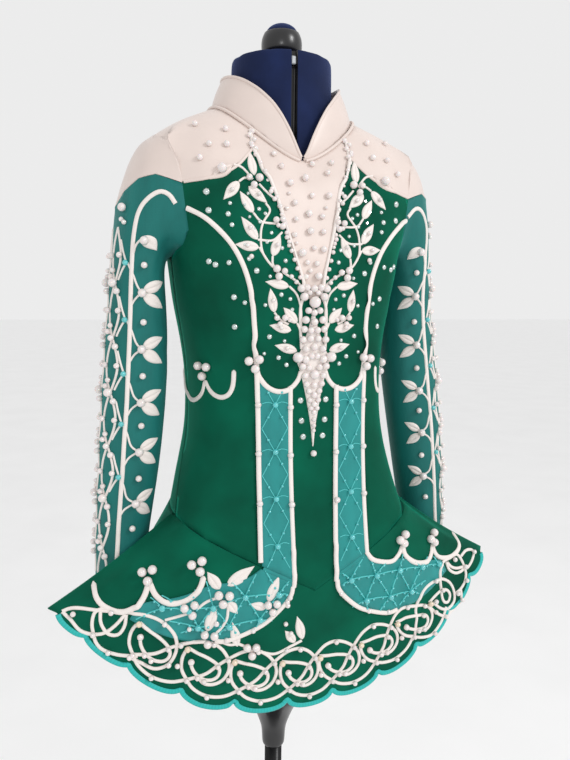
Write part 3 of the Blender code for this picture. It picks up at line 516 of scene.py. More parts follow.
def skirt(u, v):
    """The x and z on the front skirt at u across and v down from the waist seam to the notches."""
    way = abs(u)
    top_x, top_z = WAIST_HALF * u, WAIST_FRONT_Z + WAIST_RISE * way
    hem_x, hem_z = HEM_HALF * u, HEM_FRONT_Z + HEM_RISE * way ** HEM_POWER
    sag = math.sin(math.pi * min(v, 1.0)) * 4.0 * way ** 1.5
    return top_x + (hem_x - top_x) * v, top_z + (hem_z - top_z) * v - sag


# Drawing raised work
def curve_through(points, step):
    """A smooth line through points, with a point at about every step."""
    points = np.asarray(points, float)
    if len(points) == 2:
        count = max(1, int(np.linalg.norm(points[1] - points[0]) / step))
        return [points[0] + (points[1] - points[0]) * k / count for k in range(count + 1)]
    found = []
    padded = [2 * points[0] - points[1], *points, 2 * points[-1] - points[-2]]
    for a, b, c, d in zip(padded, padded[1:], padded[2:], padded[3:]):
        count = max(1, int(np.linalg.norm(c - b) / step))
        for k in range(count):
            t = k / count
            bend, twist = 2 * a - 5 * b + 4 * c - d, 3 * b - a - 3 * c + d
            found.append(0.5 * (2 * b + (c - a) * t + bend * t * t + twist * t ** 3))
    found.append(points[-1])
    return found


def along_points(points, step):
    """Points at about every step along a line."""
    line = np.array(curve_through(points, 1.0))
    run = np.concatenate([[0.0], np.cumsum(np.linalg.norm(np.diff(line, axis=0), axis=1))])
    stops = np.linspace(0.0, run[-1], max(2, int(run[-1] / step) + 1))
    return [tuple(np.interp(stop, run, line[:, k]) for k in (0, 1)) for stop in stops]


def sideways(places, normals):
    """The direction across a line at each of its places."""
    side = np.cross(np.gradient(places, axis=0), normals)
    return side / (np.linalg.norm(side, axis=1, keepdims=True) + 1e-12)


def steps_below(ground, places, normals, width):
    """How far each place of a line must rise to lie on the highest cloth across the cord's width."""
    side = sideways(places, normals)
    rise = np.zeros(len(places))
    for k, (place, normal) in enumerate(zip(places, normals)):
        for reach in (-0.5, 0.5):
            start = place + side[k] * reach * width * MM + normal * REACH_ABOVE
            found = ground.ray_cast(Vector(start), Vector(-normal), REACH_ABOVE)[3]
            if found is not None:
                rise[k] = max(rise[k], (REACH_ABOVE - found) / MM)
    spread = rise.copy()
    for shift in (1, 2, 3):
        spread[shift:] = np.maximum(spread[shift:], rise[:-shift])
        spread[:-shift] = np.maximum(spread[:-shift], rise[shift:])
    window = min(7, len(spread) // 2 * 2 - 1)
    padded = np.pad(spread, window // 2, mode="edge")
    return np.minimum(np.convolve(padded, np.ones(window) / window, mode="valid") * 0.85, HIGHEST_STEP)


class Work:
    """Raised work of one finish, gathered into one piece."""

    def __init__(self, name, finish, slot):
        self.name, self.finish, self.slot = name, finish, slot
        self.points, self.faces, self.maps = [], [], []

    def add(self, points, faces, maps):
        start = len(self.points)
        self.points.extend(points)
        self.maps.extend(maps)
        self.faces.extend(tuple(start + k for k in face) for face in faces)

    def cord(self, line, width, height, taper=(0.0, 0.0), sink=0.4):
        """A domed cord along (place, normal) pairs. Taper is the share narrowed at its two ends."""
        line = [pair for pair in line if pair is not None]
        if len(line) < 3:
            return
        places = np.array([place for place, _ in line])
        normals = np.array([normal for _, normal in line])
        for _ in range(6):
            normals[1:-1] = (normals[:-2] + normals[1:-1] + normals[2:]) / 3
        normals /= np.linalg.norm(normals, axis=1, keepdims=True)
        ground = TORSO if self.name != "sleeve_cords" else ALL_CLOTH
        places += normals * (steps_below(ground, places, normals, width) * MM)[:, None]
        for _ in range(2):
            places[1:-1] = (places[:-2] + places[1:-1] * 6 + places[2:]) / 8
        side = sideways(places, normals)
        run = np.concatenate([[0.0], np.cumsum(np.linalg.norm(np.diff(places, axis=0), axis=1))]) / MM
        angles = [math.radians(a) for a in (0, 36, 72, 108, 144, 180, 250, 290)]
        points, maps, faces = [], [], []
        for i, place in enumerate(places):
            share = i / (len(places) - 1)
            narrow = 1.0
            if taper[0]:
                narrow = min(narrow, share / taper[0] + 0.25)
            if taper[1]:
                narrow = min(narrow, (1 - share) / taper[1] + 0.25)
            for k, angle in enumerate(angles):
                lift = height * max(math.sin(angle), 0.0) * narrow if k < 6 else 0.0
                out = (lift - (sink if k in (0, 5) else 0.0) - (sink * 1.6 if k > 5 else 0.0)) * MM
                points.append(place + side[i] * math.cos(angle) * width / 2 * narrow * MM + normals[i] * out)
                maps.append((run[i], k / 7))
        size = len(angles)
        for i in range(len(places) - 1):
            for k in range(size):
                n = (k + 1) % size
                faces.append((i * size + k, i * size + n, (i + 1) * size + n, (i + 1) * size + k))
        faces.append(tuple(range(size))[::-1])
        faces.append(tuple((len(places) - 1) * size + k for k in range(size)))
        self.add(points, faces, maps)

    def patch(self, ground, outline_at, rows, columns, height):
        """A closed padded patch. outline_at(t, s) gives a flat place and its height share."""
        points, maps, faces = [], [], []
        for layer in (0, 1):
            for i in range(rows + 1):
                for j in range(columns + 1):
                    flat, share, along = outline_at(i / rows, 2 * j / columns - 1)
                    found = ground(*flat)
                    if found is None:
                        return
                    place, normal = found
                    lift = share * height if layer == 0 else -0.5
                    points.append(place + normal * lift * MM)
                    maps.append((along, j / columns))
        width = columns + 1
        count = (rows + 1) * width
        for i in range(rows):
            for j in range(columns):
                a, b, c, d = i * width + j, i * width + j + 1, (i + 1) * width + j + 1, (i + 1) * width + j
                faces.append((a, b, c, d))
                faces.append((d + count, c + count, b + count, a + count))
        rim = list(range(width)) + [i * width + columns for i in range(1, rows + 1)]
        rim += [rows * width + k for k in range(columns - 1, -1, -1)]
        rim += [i * width for i in range(rows - 1, 0, -1)]
        for a, b in zip(rim, rim[1:] + rim[:1]):
            faces.append((b, a, a + count, b + count))
        self.add(points, faces, maps)

    def finish_piece(self):
        mesh = bpy.data.meshes.new(self.name)
        mesh.from_pydata([tuple(p) for p in self.points], [], self.faces)
        flat_maps = np.array(self.maps, np.float32)
        corners = np.empty(len(mesh.loops), np.int32)
        mesh.loops.foreach_get("vertex_index", corners)
        layer = mesh.uv_layers.new(name="UVMap")
        layer.data.foreach_set("uv", flat_maps[corners].ravel())
        mesh.shade_smooth()
        mesh.set_sharp_from_angle(angle=math.radians(60))
        made = link(self.name, mesh)
        grid = bmesh.new()
        grid.from_mesh(mesh)
        bmesh.ops.recalc_face_normals(grid, faces=grid.faces)
        grid.to_mesh(mesh)
        grid.free()
        dress_in(made, self.finish)
        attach(made, "root")
        return made


BEAD_TURNS, BEAD_RINGS = 14, 8


class Beads(Work):
    """Round beads and cut stones of one finish, gathered into one piece."""

    def bead(self, found, size, lift=0.36):
        """A round bead of this diameter that sits in the cloth or stitching."""
        if found is None:
            return
        place, normal = found
        centre = place + normal * size * lift * MM
        up = normal
        side = np.cross(up, (0.0, 0.0, 1.0) if abs(up[2]) < 0.9 else (1.0, 0.0, 0.0))
        side /= np.linalg.norm(side)
        other = np.cross(up, side)
        points, faces = [centre + up * size / 2 * MM], []
        for i in range(1, BEAD_RINGS):
            lean = math.pi * i / BEAD_RINGS
            for k in range(BEAD_TURNS):
                turn = 2 * math.pi * k / BEAD_TURNS
                way = up * math.cos(lean) + (side * math.cos(turn) + other * math.sin(turn)) * math.sin(lean)
                points.append(centre + way * size / 2 * MM)
        points.append(centre - up * size / 2 * MM)
        last = len(points) - 1
        for k in range(BEAD_TURNS):
            n = (k + 1) % BEAD_TURNS
            faces.append((0, 1 + k, 1 + n))
            for i in range(BEAD_RINGS - 2):
                a = 1 + i * BEAD_TURNS
                faces.append((a + k, a + BEAD_TURNS + k, a + BEAD_TURNS + n, a + n))
            foot = 1 + (BEAD_RINGS - 2) * BEAD_TURNS
            faces.append((foot + k, last, foot + n))
        self.add(points, faces, [(0.0, 0.0)] * len(points))

    def stone(self, found, size):
        """A cut stone with a flat table and eight facets."""
        if found is None:
            return
        place, normal = found
        side = np.cross(normal, (0.0, 0.0, 1.0))
        side /= np.linalg.norm(side)
        other = np.cross(normal, side)
        points = []
        for radius, lift in ((0.6, -0.3), (0.6, 0.4), (0.38, 1.5)):
            for k in range(8):
                turn = 2 * math.pi * k / 8
                way = (side * math.cos(turn) + other * math.sin(turn)) * radius * size
                points.append(place + (way + normal * lift) * MM)
        faces = [tuple(range(8))[::-1], tuple(range(16, 24))]
        for base in (0, 8):
            for k in range(8):
                n = (k + 1) % 8
                faces.append((base + k, base + n, base + 8 + n, base + 8 + k))
        self.add(points, faces, [(0.0, 0.0)] * len(points))


CORDS = Work("embroidery_cords", "embroidery", "embroidery")
SLEEVE_CORDS = Work("sleeve_cords", "embroidery", "embroidery")
KNOT_CORDS = Work("hem_knots", "embroidery", "embroidery")
LEAVES = Work("embroidery_leaves", "embroidery", "embroidery")
YOKE_LEAVES = Work("yoke_leaves", "satin", "satin")
STRIP_JOIN = Work("strip_join", "strip_cloth", "strip_cloth")
LATTICE = Work("lattice_cords", "lattice_cord", "hem_edge")
EDGE = Work("hem_edge_stitch", "hem_edge", "hem_edge")
PIPING = Work("satin_piping", "satin", "satin")
PEARLS = Beads("pearls", "pearl", "pearl")
TEAL_BEADS = Beads("teal_beads", "pearl_teal", "hem_edge")
CREAM_PEARLS = Beads("cream_pearls", "pearl_cream", "pearl")
STONES = Beads("cut_stones", "stone", "pearl")

# Widths and heights of the cords, heights of the leaves, and sizes of the pearls
BORDER_WIDTH, BORDER_HEIGHT = 5.0, 1.5
STEM_WIDTH, STEM_HEIGHT = 2.4, 1.1
TWIG_WIDTH, TWIG_HEIGHT = 2.2, 1.1
KNOT_WIDTH, KNOT_HEIGHT = 3.6, 1.5
LEAF_HEIGHT, LEAF_ROWS, LEAF_COLUMNS = 1.7, 12, 10
LARGE, MEDIUM, SMALL, TINY = 8.8, 6.5, 4.8, 2.7
ON_CORD, ON_LEAF = 0.6, 0.8
STEP, FINE_STEP = 2.0, 1.6


def on_front(points, step=STEP):
    return [front(x, z) for x, z in curve_through(points, step)]


def pearls_on_front(places, side=1):
    """Pearls from a table of x, z and size, on one side of the dress."""
    for x, z, size in places:
        PEARLS.bead(front(side * x, z), size)


def stones_on_front(places, side=1):
    for x, z, size in places:
        STONES.stone(front(side * x, z), size)


def leaf(work, ground, base, tip, width):
    """A pointed leaf with a groove along its middle, from its base to its tip."""
    base, tip = np.array(base, float), np.array(tip, float)
    along = tip - base
    length = np.linalg.norm(along)
    side = np.array([-along[1], along[0]]) / length

    def outline(t, s):
        bow = max(math.sin(math.pi * t ** 0.80), 0.0) ** (0.75 if t < 0.42 else 1.0)
        flat = base + along * t + side * s * width / 2 * bow
        dome = math.sqrt(max(0.0, 1 - s * s)) * (0.35 + 0.65 * bow)
        groove = 0.55 * math.exp(-(s / 0.16) ** 2) * bow
        share = max(dome - groove, 0.0) if 0 < t < 1 else 0.0
        return flat, share - (0.12 if abs(s) > 0.99 else 0.0), t * length + abs(s) * width * 0.4

    work.patch(ground, outline, LEAF_ROWS, LEAF_COLUMNS, LEAF_HEIGHT)


# Bodice
PRINCESS = (
    (121.0, 1241), (104.0, 1231), (88.0, 1216), (76.0, 1200), (67.0, 1180),
    (61.5, 1156), (58.5, 1120), (57.5, 1094),
)
STRIP_OUTER = ((57.2, 1094), (55.8, 1038), (56.0, 965), (57.2, 904))
STRIP_INNER = ((24.5, 1072), (24.3, 1000), (22.8, 886))
TRUMPET_INNER = ((0.187, 0.04), (0.191, 0.123), (0.250, 0.26), (0.330, 0.40), (0.457, 0.551), (0.52, 0.59))
INSERT_EDGE = (
    (51.0, 1318), (51.6, 1299), (44.0, 1281), (34.4, 1260), (28.0, 1232), (21.5, 1204), (13.4, 1178),
    (7.5, 1160),
)
YOKE_EDGE = ((52.0, 1299), (72.0, 1279), (96.0, 1267.5), (120.0, 1263))
HOOP_LOW = (
    (57.5, 1094), (55.0, 1082), (49.0, 1073.5), (41.0, 1068.5), (32.0, 1067.5), (22.5, 1071), (15.5, 1079),
    (12.5, 1088),
)


def bodice_borders():
    for side in (1, -1):
        def line(points):
            return on_front([(side * x, z) for x, z in points])

        CORDS.cord(line(PRINCESS), BORDER_WIDTH, BORDER_HEIGHT)
        if side < 0:
            CORDS.cord(line(STRIP_OUTER), BORDER_WIDTH, BORDER_HEIGHT)
        inner = [*STRIP_INNER, *(skirt(u, v) for u, v in TRUMPET_INNER)]
        CORDS.cord(line(inner), BORDER_WIDTH, BORDER_HEIGHT)
        CORDS.cord(line(HOOP_LOW), BORDER_WIDTH, BORDER_HEIGHT, (0.0, 0.04))
        CORDS.cord(line(INSERT_EDGE), 3.6, 1.4)
        PIPING.cord(line(YOKE_EDGE), 3.2, 1.0)
        for z in (1055, 1008, 960):
            PEARLS.bead(front(side * 56.0, z), MEDIUM)
            PEARLS.bead(front(side * 24.4, z - 3), MEDIUM)
        for x, z in ((55.0, 1098.5), (63.5, 1097), (58.0, 1089.5)):
            PEARLS.bead(front(side * x, z), LARGE)
        for x, z in along_points(INSERT_EDGE, 8.6)[2:]:
            PEARLS.bead(front(side * (x + 1.0), z), SMALL - 0.3)


# Leaf sprays on the chest, on the wearer's left: x and z of base and tip, and width
CHEST_LEAVES = (
    (54, 1272, 56, 1296, 9.5),
    (70, 1265, 86, 1247, 10.5),
    (61, 1261, 43, 1246, 10.5),
    (58, 1236, 70, 1256, 10.0),
    (55, 1211, 70, 1232, 10.5),
    (54, 1204, 77, 1206, 10.0),
    (41, 1196, 32, 1217, 10.0),
    (25, 1168, 49, 1172, 9.5),
    (40, 1143, 44, 1166, 9.5),
    (17, 1133, 31, 1148, 10.0),
    (23, 1126, 45, 1131, 9.5),
    (17, 1106, 40, 1112, 9.5),
)
LEAVES_WITH_PEARL = (1, 2, 4, 5, 6, 8, 10, 11)
CHEST_STEMS = (
    ((74, 1281), (66, 1279), (60, 1273), (56, 1268)),
    ((70, 1265), (64, 1269), (57, 1268)),
    ((50, 1264), (42, 1256), (34, 1250)),
    ((45, 1246), (41, 1239), (49, 1227), (52, 1215), (51, 1200), (44, 1189), (37, 1183)),
    ((58, 1236), (50, 1228), (33, 1227)),
    ((55, 1211), (40, 1211), (30, 1219)),
    ((54, 1204), (49, 1196), (45, 1190)),
    ((41, 1196), (41, 1188), (36, 1182)),
    ((31, 1181), (19, 1174), (12, 1168)),
    ((25, 1168), (17, 1160), (13, 1146), (13, 1128)),
    ((40, 1143), (34, 1136), (26, 1132)),
    ((17, 1133), (14, 1126), (13, 1116)),
)
CHEST_PEARLS = (
    (60, 1269, MEDIUM), (50, 1269, MEDIUM + 1.5), (56, 1262, MEDIUM + 0.5),
    (36, 1230, MEDIUM), (29, 1231, MEDIUM), (30, 1224, MEDIUM), (34, 1225, SMALL),
    (38, 1184, LARGE - 1), (30, 1182, MEDIUM), (36, 1177, MEDIUM + 1),
    (38, 1138, SMALL + 1), (30, 1138, MEDIUM), (35, 1132, SMALL + 1), (25, 1136, SMALL),
    (39, 1257, SMALL), (36, 1250, SMALL), (31, 1243, SMALL), (26, 1214, SMALL), (22, 1207, SMALL),
    (18, 1172, SMALL), (23, 1177, SMALL), (62, 1195, SMALL),
)
CHEST_STONES = (
    (101, 1254, 5.5), (99, 1237, 5.5), (82, 1234, 4.5), (79, 1224, 4.0), (80, 1244, 3.4), (64, 1193, 4.0),
    (52, 1240, 3.6), (66, 1243, 3.0), (57, 1182, 5.0), (52, 1228, 3.4), (46, 1236, 3.4), (58, 1221, 3.0),
    (46, 1209, 3.2), (62, 1232, 3.0), (41, 1218, 3.2), (31, 1204, 3.6), (28, 1192, 4.0), (44, 1177, 3.2),
    (33, 1160, 4.0), (24, 1156, 3.6), (49, 1150, 3.4), (45, 1120, 4.4), (36, 1100, 4.2), (28, 1093, 4.0),
    (50, 1104, 3.2), (30, 1116, 3.2), (68, 1152, 4.0), (22, 1146, 3.4), (68, 1206, 3.0), (62, 1254, 3.0),
)
INSERT_PEARLS = (
    (-31, 1295, SMALL + 0.6), (-25, 1283, MEDIUM - 0.8), (-18, 1267, MEDIUM + 0.4), (-1, 1273, MEDIUM + 0.6),
    (9, 1288, SMALL + 1), (30, 1291, SMALL + 0.6), (24, 1280, SMALL + 1), (4, 1256, SMALL + 1),
    (22, 1257, MEDIUM), (-15, 1248, SMALL + 1), (-1, 1238, MEDIUM + 0.4), (-15, 1232, SMALL + 0.6),
    (13, 1236, SMALL + 1), (-18, 1217, SMALL + 1), (-1, 1221, MEDIUM + 0.6), (13, 1221, SMALL + 1),
    (-24, 1242, TINY + 1), (-11, 1200, MEDIUM + 1.6), (2, 1205, SMALL + 0.6), (12, 1204, MEDIUM),
    (-16, 1209, TINY + 1), (-6, 1191, SMALL + 0.6), (4, 1190, SMALL + 0.8), (-8, 1177, MEDIUM - 0.6),
    (5, 1178, MEDIUM + 1.2), (-3, 1183, SMALL), (18, 1245, TINY + 1), (-20, 1257, TINY + 1),
)
YOKE_PEARLS = (
    (103, 1320, SMALL + 1), (76, 1316, SMALL + 1.2), (95, 1299, SMALL + 1), (78, 1300, SMALL + 1.4),
    (105, 1285, SMALL + 1.2), (86, 1275, LARGE + 0.6),
)
SIDE_STONES = ((57, 1190, 5.0), (54, 1187, 5.0), (48, 1189, 4.4), (46, 1157, 5.0), (46, 1129, 5.0))


def chest():
    for side in (1, -1):
        for base_x, base_z, tip_x, tip_z, width in CHEST_LEAVES:
            leaf(LEAVES, front, (side * base_x, base_z), (side * tip_x, tip_z), width)
        for stem in CHEST_STEMS:
            CORDS.cord(on_front([(side * x, z) for x, z in stem], FINE_STEP), STEM_WIDTH, STEM_HEIGHT)
        for k in LEAVES_WITH_PEARL:
            base_x, base_z, tip_x, tip_z, _ = CHEST_LEAVES[k]
            PEARLS.bead(front(side * (base_x + tip_x) / 2, (base_z + tip_z) / 2), SMALL - 0.6, ON_LEAF)
        pearls_on_front(CHEST_PEARLS, side)
        stones_on_front(CHEST_STONES, side)
        pearls_on_front(YOKE_PEARLS, side)
        for degrees, z, size in SIDE_STONES:
            STONES.stone(round_body(side * degrees, z), size)
    pearls_on_front(INSERT_PEARLS)


def yoke_tail():
    """The little leaf that hangs from the yoke's lower edge."""
    for side in (1, -1):
        leaf(YOKE_LEAVES, front, (side * 74, 1281), (side * 99, 1265), 11.0)
        for k in range(5):
            PEARLS.bead(front(side * (49.5 + k % 2 * 4), 1316 - k * 4.4), SMALL + 0.4)


# Pendant under the insert's tip: half width at each height, then its pearls on the wearer's left.
PENDANT_HALF = (
    (1013.0, 0.5), (1031.0, 2.4), (1046.0, 5.0), (1060.0, 7.6), (1077.0, 11.4), (1090.0, 15.2),
    (1099.0, 18.6), (1106.0, 13.5), (1116.0, 9.5), (1130.0, 4.5), (1140.0, 2.0),
)
PENDANT_PEARLS = (
    (0, 1166, MEDIUM), (7.5, 1167, SMALL + 1.2), (13.5, 1166, MEDIUM), (10.5, 1158, MEDIUM + 0.6),
    (0, 1153, LARGE + 1), (4.5, 1162, SMALL), (6.0, 1145, SMALL + 1), (0, 1143, MEDIUM - 0.6),
    (9.0, 1136, MEDIUM), (0, 1134, MEDIUM), (10.5, 1127, SMALL + 1.2), (3.5, 1126, SMALL + 1),
    (12.0, 1117, MEDIUM - 0.4), (4.0, 1118, SMALL + 1.2), (9.0, 1108, MEDIUM - 0.4), (0, 1110, MEDIUM),
    (17.5, 1100, LARGE), (9.5, 1098, MEDIUM + 0.4), (3.0, 1101, SMALL + 1), (12.5, 1091, MEDIUM - 0.2),
    (5.5, 1090, SMALL + 1), (0, 1083, LARGE - 0.8), (9.5, 1082, SMALL + 1), (8.0, 1074, SMALL + 0.6),
    (0, 1073, SMALL + 0.8), (5.5, 1067, SMALL + 0.4), (0, 1063, MEDIUM - 0.8), (4.5, 1058, SMALL),
    (0, 1054, SMALL + 0.4), (3.4, 1050, SMALL - 0.4), (0, 1046, SMALL), (0, 1039, SMALL - 0.4),
    (0, 1033, SMALL - 0.8), (0, 1028, TINY + 1),
)


def pendant():
    heights, halves = zip(*PENDANT_HALF)
    low, high = heights[0], heights[-1]

    def outline(t, s):
        z = low + (high - low) * t
        edge = 1.0 - abs(s) ** 6
        return (s * np.interp(z, heights, halves), z), edge, z - low

    LEAVES.patch(front, outline, 44, 10, 1.5)
    for side in (1, -1):
        stem = [(side * x, z) for x, z in ((6, 1163), (13, 1150), (13.6, 1128), (12.5, 1108))]
        CORDS.cord(on_front(stem, FINE_STEP), 3.2, 1.3)
        for x, z, size in PENDANT_PEARLS:
            if x or side > 0:
                PEARLS.bead(front(side * x, z), size * 1.2)
        stones_on_front(((13.5, 1058, 5.4), (12.5, 1038, 5.4), (10.5, 1022, 5.4)), side)
    CORDS.cord(on_front([(0, 1156), (0, 1130), (0, 1112)], FINE_STEP), 3.2, 1.3)
    CORDS.cord(on_front([(0, 1024), (0, 1018), (0, 1012)], 1.0), 1.4, 0.9)
    PEARLS.bead(front(0, 1005), MEDIUM)


# Hoops at the side seams, as degrees from the front middle and height
SIDE_HOOPS = (
    ((107, 1080), (103, 1063), (95, 1055), (86, 1051), (77, 1054), (70, 1062), (67, 1075)),
    ((67, 1075), (62.5, 1066), (58, 1061.5), (53.5, 1060.5), (49.5, 1064), (47.2, 1073), (46.6, 1088)),
)
SIDE_PEARLS = ((71, 1089), (63.5, 1089), (67.5, 1079))
SIDE_ARC = 1.75  # millimetres along the cloth for each degree


def side_crowns():
    for side in (1, -1):
        for hoop in SIDE_HOOPS:
            points = curve_through([(degrees * SIDE_ARC, z) for degrees, z in hoop], 1.8)
            line = [round_body(side * a / SIDE_ARC, z) for a, z in points]
            CORDS.cord(line, BORDER_WIDTH, 1.4, (0.03, 0.03))
        for degrees, z in SIDE_PEARLS:
            PEARLS.bead(round_body(side * degrees, z), LARGE)


# Lattice on the light strips
LATTICE_PITCH = 45.7
LATTICE_TOP = 1055.0
LATTICE_ROWS = 4
STRIP_EDGES, STRIP_MIDDLE, STRIP_TOP = (27.5, 53.0), 40.2, 1068


def strip_lattice():
    for side in (1, -1):
        for row in range(LATTICE_ROWS):
            z = LATTICE_TOP - row * LATTICE_PITCH
            middle, half = side * STRIP_MIDDLE, LATTICE_PITCH / 2
            for edge in (side * x for x in STRIP_EDGES):
                for end in (half, -half):
                    end = min(end, STRIP_TOP - z)
                    x_end = middle + (edge - middle) * abs(end) / half
                    LATTICE.cord(on_front([(middle, z), (x_end, z + end)], 2.5), 0.9, 0.8, sink=0.2)
                bow = [(middle, z), ((middle + edge) / 2, z + 3.0), (edge, z + 1.0)]
                LATTICE.cord(on_front(bow, 2.5), 0.8, 0.7, sink=0.2)
                for rise in (-half, half):
                    TEAL_BEADS.bead(front(middle + (edge - middle) * 0.52, z + rise * 0.52), TINY)
            TEAL_BEADS.bead(front(middle, z), MEDIUM - 0.6)


# Lattice on the skirt, as x and z: its beads, its cords between them by number, and cords to the borders
SKIRT_NODES = {
    1: ((39, 874), (70, 873), (101, 872), (135, 867), (163, 863), (59, 848), (90, 845), (119, 844)),
    -1: ((-39, 870), (-72, 871), (-102, 862), (-124, 860), (-148, 863), (-57, 846), (-87, 842), (-116, 843)),
}
SKIRT_LINKS = ((0, 1), (1, 2), (2, 3), (3, 4), (0, 5), (1, 5), (1, 6), (2, 6), (2, 7), (3, 7), (5, 6), (6, 7))
SKIRT_ENDS = (
    (0, (27, 884)), (0, (27, 868)), (0, (52, 894)), (1, (62, 893)), (1, (84, 886)), (2, (108, 888)),
    (3, (118, 880)), (3, (148, 874)), (4, (158, 872)), (4, (172, 852)), (5, (44, 842)), (5, (62, 834)),
    (6, (78, 832)), (6, (100, 832)), (7, (104, 832)), (7, (132, 838)), (7, (142, 850)),
)


def skirt_lattice():
    for side, nodes in SKIRT_NODES.items():
        lines = [(nodes[a], nodes[b]) for a, b in SKIRT_LINKS]
        lines += [(nodes[a], (side * x, z)) for a, (x, z) in SKIRT_ENDS]
        for start, end in lines:
            middle = ((start[0] + end[0]) / 2, (start[1] + end[1]) / 2 + 0.8)
            LATTICE.cord(on_front([start, middle, end], 2.5), 1.3, 1.0, sink=0.1)
            for share in (0.3, 0.68):
                x, z = (a + (b - a) * share for a, b in zip(start, end))
                TEAL_BEADS.bead(front(x, z), TINY)
        for x, z in nodes:
            TEAL_BEADS.bead(front(x, z), MEDIUM)


# Hoops and pearls above the skirt's light field, as x and z. The first hoop goes on from the strip's border.
SKIRT_HOOPS = {
    1: (
        ((108, 896), (110, 887), (118, 879), (132, 872), (147, 871), (155, 878), (158, 886)),
        ((158, 886), (161, 876), (169, 868), (187, 864), (203, 868), (209, 876), (209, 884)),
    ),
    -1: (
        ((-110, 893), (-114, 881), (-126, 870), (-141, 867), (-153, 874), (-159, 888)),
        ((-159, 888), (-162, 876), (-169, 865), (-184, 858), (-199, 863), (-206, 871), (-207, 881)),
    ),
}
FIRST_HOOP = ((57.8, 900), (64, 892), (76, 886.5), (90, 884), (101, 889), (107, 898))
SKIRT_HOOP_PEARLS = {
    1: ((100, 905), (108, 909), (106, 900), (152, 892), (160, 896), (158, 887)),
    -1: ((-120, 904), (-111, 908), (-113, 898), (-163, 894), (-154, 897), (-159, 887)),
}


def skirt_borders():
    for side in (1, -1):
        for hoop in SKIRT_HOOPS[side]:
            CORDS.cord(on_front(hoop), BORDER_WIDTH + 0.6, BORDER_HEIGHT, (0.03, 0.03))
        for x, z in SKIRT_HOOP_PEARLS[side]:
            PEARLS.bead(front(x, z), LARGE + 0.4)
        for u, v in ((0.205, 0.17), (0.36, 0.44), (0.47, 0.555)):
            PEARLS.bead(front(*skirt(side * u, v)), SMALL + 0.8)
    CORDS.cord(on_front(STRIP_OUTER + FIRST_HOOP), BORDER_WIDTH, BORDER_HEIGHT)
    for side in (1, -1):
        seam = [skirt(side * u, 0.004) for u in np.linspace(0.20, 0.44, 14)]
        STRIP_JOIN.cord(on_front(seam), 4.0, 0.5)


# Leaf spray on the wearer's right of the skirt, as x and z
SPRAY_LEAVES = (
    (-89, 883, -63, 901, 12.0),
    (-96, 880, -107, 897, 11.0),
    (-88, 867, -79, 854, 10.0),
    (-108, 838, -99, 864, 11.0),
    (-78, 819, -84, 846, 10.0),
    (-51, 857, -67, 863, 9.0),
    (-49, 863, -39, 889, 11.0),
    (-11, 817, -18, 843, 10.0),
    (-19, 815, -30, 829, 9.0),
)
SPRAY_STEMS = (
    ((-97, 872), (-108, 868), (-117, 861)),
    ((-122, 858), (-132, 855), (-146, 851)),
    ((-88, 862), (-89, 850), (-94, 841), (-101, 834)),
    ((-100, 830), (-86, 822), (-78, 822), (-70, 818)),
    ((-58, 812), (-40, 806), (-22, 812), (-12, 816)),
)
SPRAY_PEARLS = (
    (-97, 875, LARGE), (-87, 874, LARGE), (-93, 866, LARGE),
    (-128, 863, LARGE - 0.6), (-119, 866, LARGE - 0.6), (-121, 856, LARGE - 0.6),
    (-110, 836, LARGE - 0.6), (-101, 834, LARGE - 0.6), (-107, 826, LARGE - 0.6),
    (-69, 818, LARGE - 0.6), (-60, 817, LARGE - 0.6), (-64, 809, LARGE - 0.6),
    (-50, 861, LARGE - 0.8), (-41, 861, LARGE - 0.8), (-45, 853, LARGE - 0.8),
    (-27, 865, MEDIUM - 0.6), (-29, 857, SMALL + 0.8),
    (-99, 846, MEDIUM - 1), (-124, 842, SMALL), (-30, 837, SMALL), (-24, 826, SMALL), (-28, 808, SMALL),
)


def skirt_spray():
    for base_x, base_z, tip_x, tip_z, width in SPRAY_LEAVES:
        leaf(LEAVES, front, (base_x, base_z), (tip_x, tip_z), width)
    for stem in SPRAY_STEMS:
        CORDS.cord(on_front(stem, FINE_STEP), 3.0, 1.2)
    pearls_on_front(SPRAY_PEARLS)


# Hem
def lobe_drop(share):
    return max(0.0, 1 - abs(2 * share - 1) ** SCALLOP_POWER) ** 0.5


def hem_drop(x):
    """The scallop's reach below the notch line at this x."""
    way, depth = abs(x), np.interp(x, *zip(*SCALLOP))
    if way <= NOTCHES[0]:
        return depth * lobe_drop(0.5 + way / (2 * NOTCHES[0]))
    for low, high in zip(NOTCHES, NOTCHES[1:]):
        if way <= high:
            return depth * lobe_drop((way - low) / (high - low))
    return 0.0


def above_hem(x, rise):
    """The x and z on the skirt that lies rise millimetres above the notch line at hem place x."""
    u = x / HEM_HALF
    top, foot = np.array(skirt(u, 0.0)), np.array(skirt(u, 1.0))
    return skirt(u, 1.0 - rise / np.linalg.norm(foot - top))


EDGE_INSET, EDGE_STEPS, EDGE_SHARE = 2.6, 420, 0.995


def edge_place(x):
    """A place just above the scallops' rim, or a little higher where a ray passes below the cloth."""
    rise = EDGE_INSET - hem_drop(x)
    return front(*above_hem(x, rise)) or front(*above_hem(x, rise + 1))


def hem_edge():
    xs = [HEM_HALF * (2 * k / EDGE_STEPS - 1) * EDGE_SHARE for k in range(EDGE_STEPS + 1)]
    EDGE.cord([edge_place(x) for x in xs], 5.4, 1.3, sink=0.8)


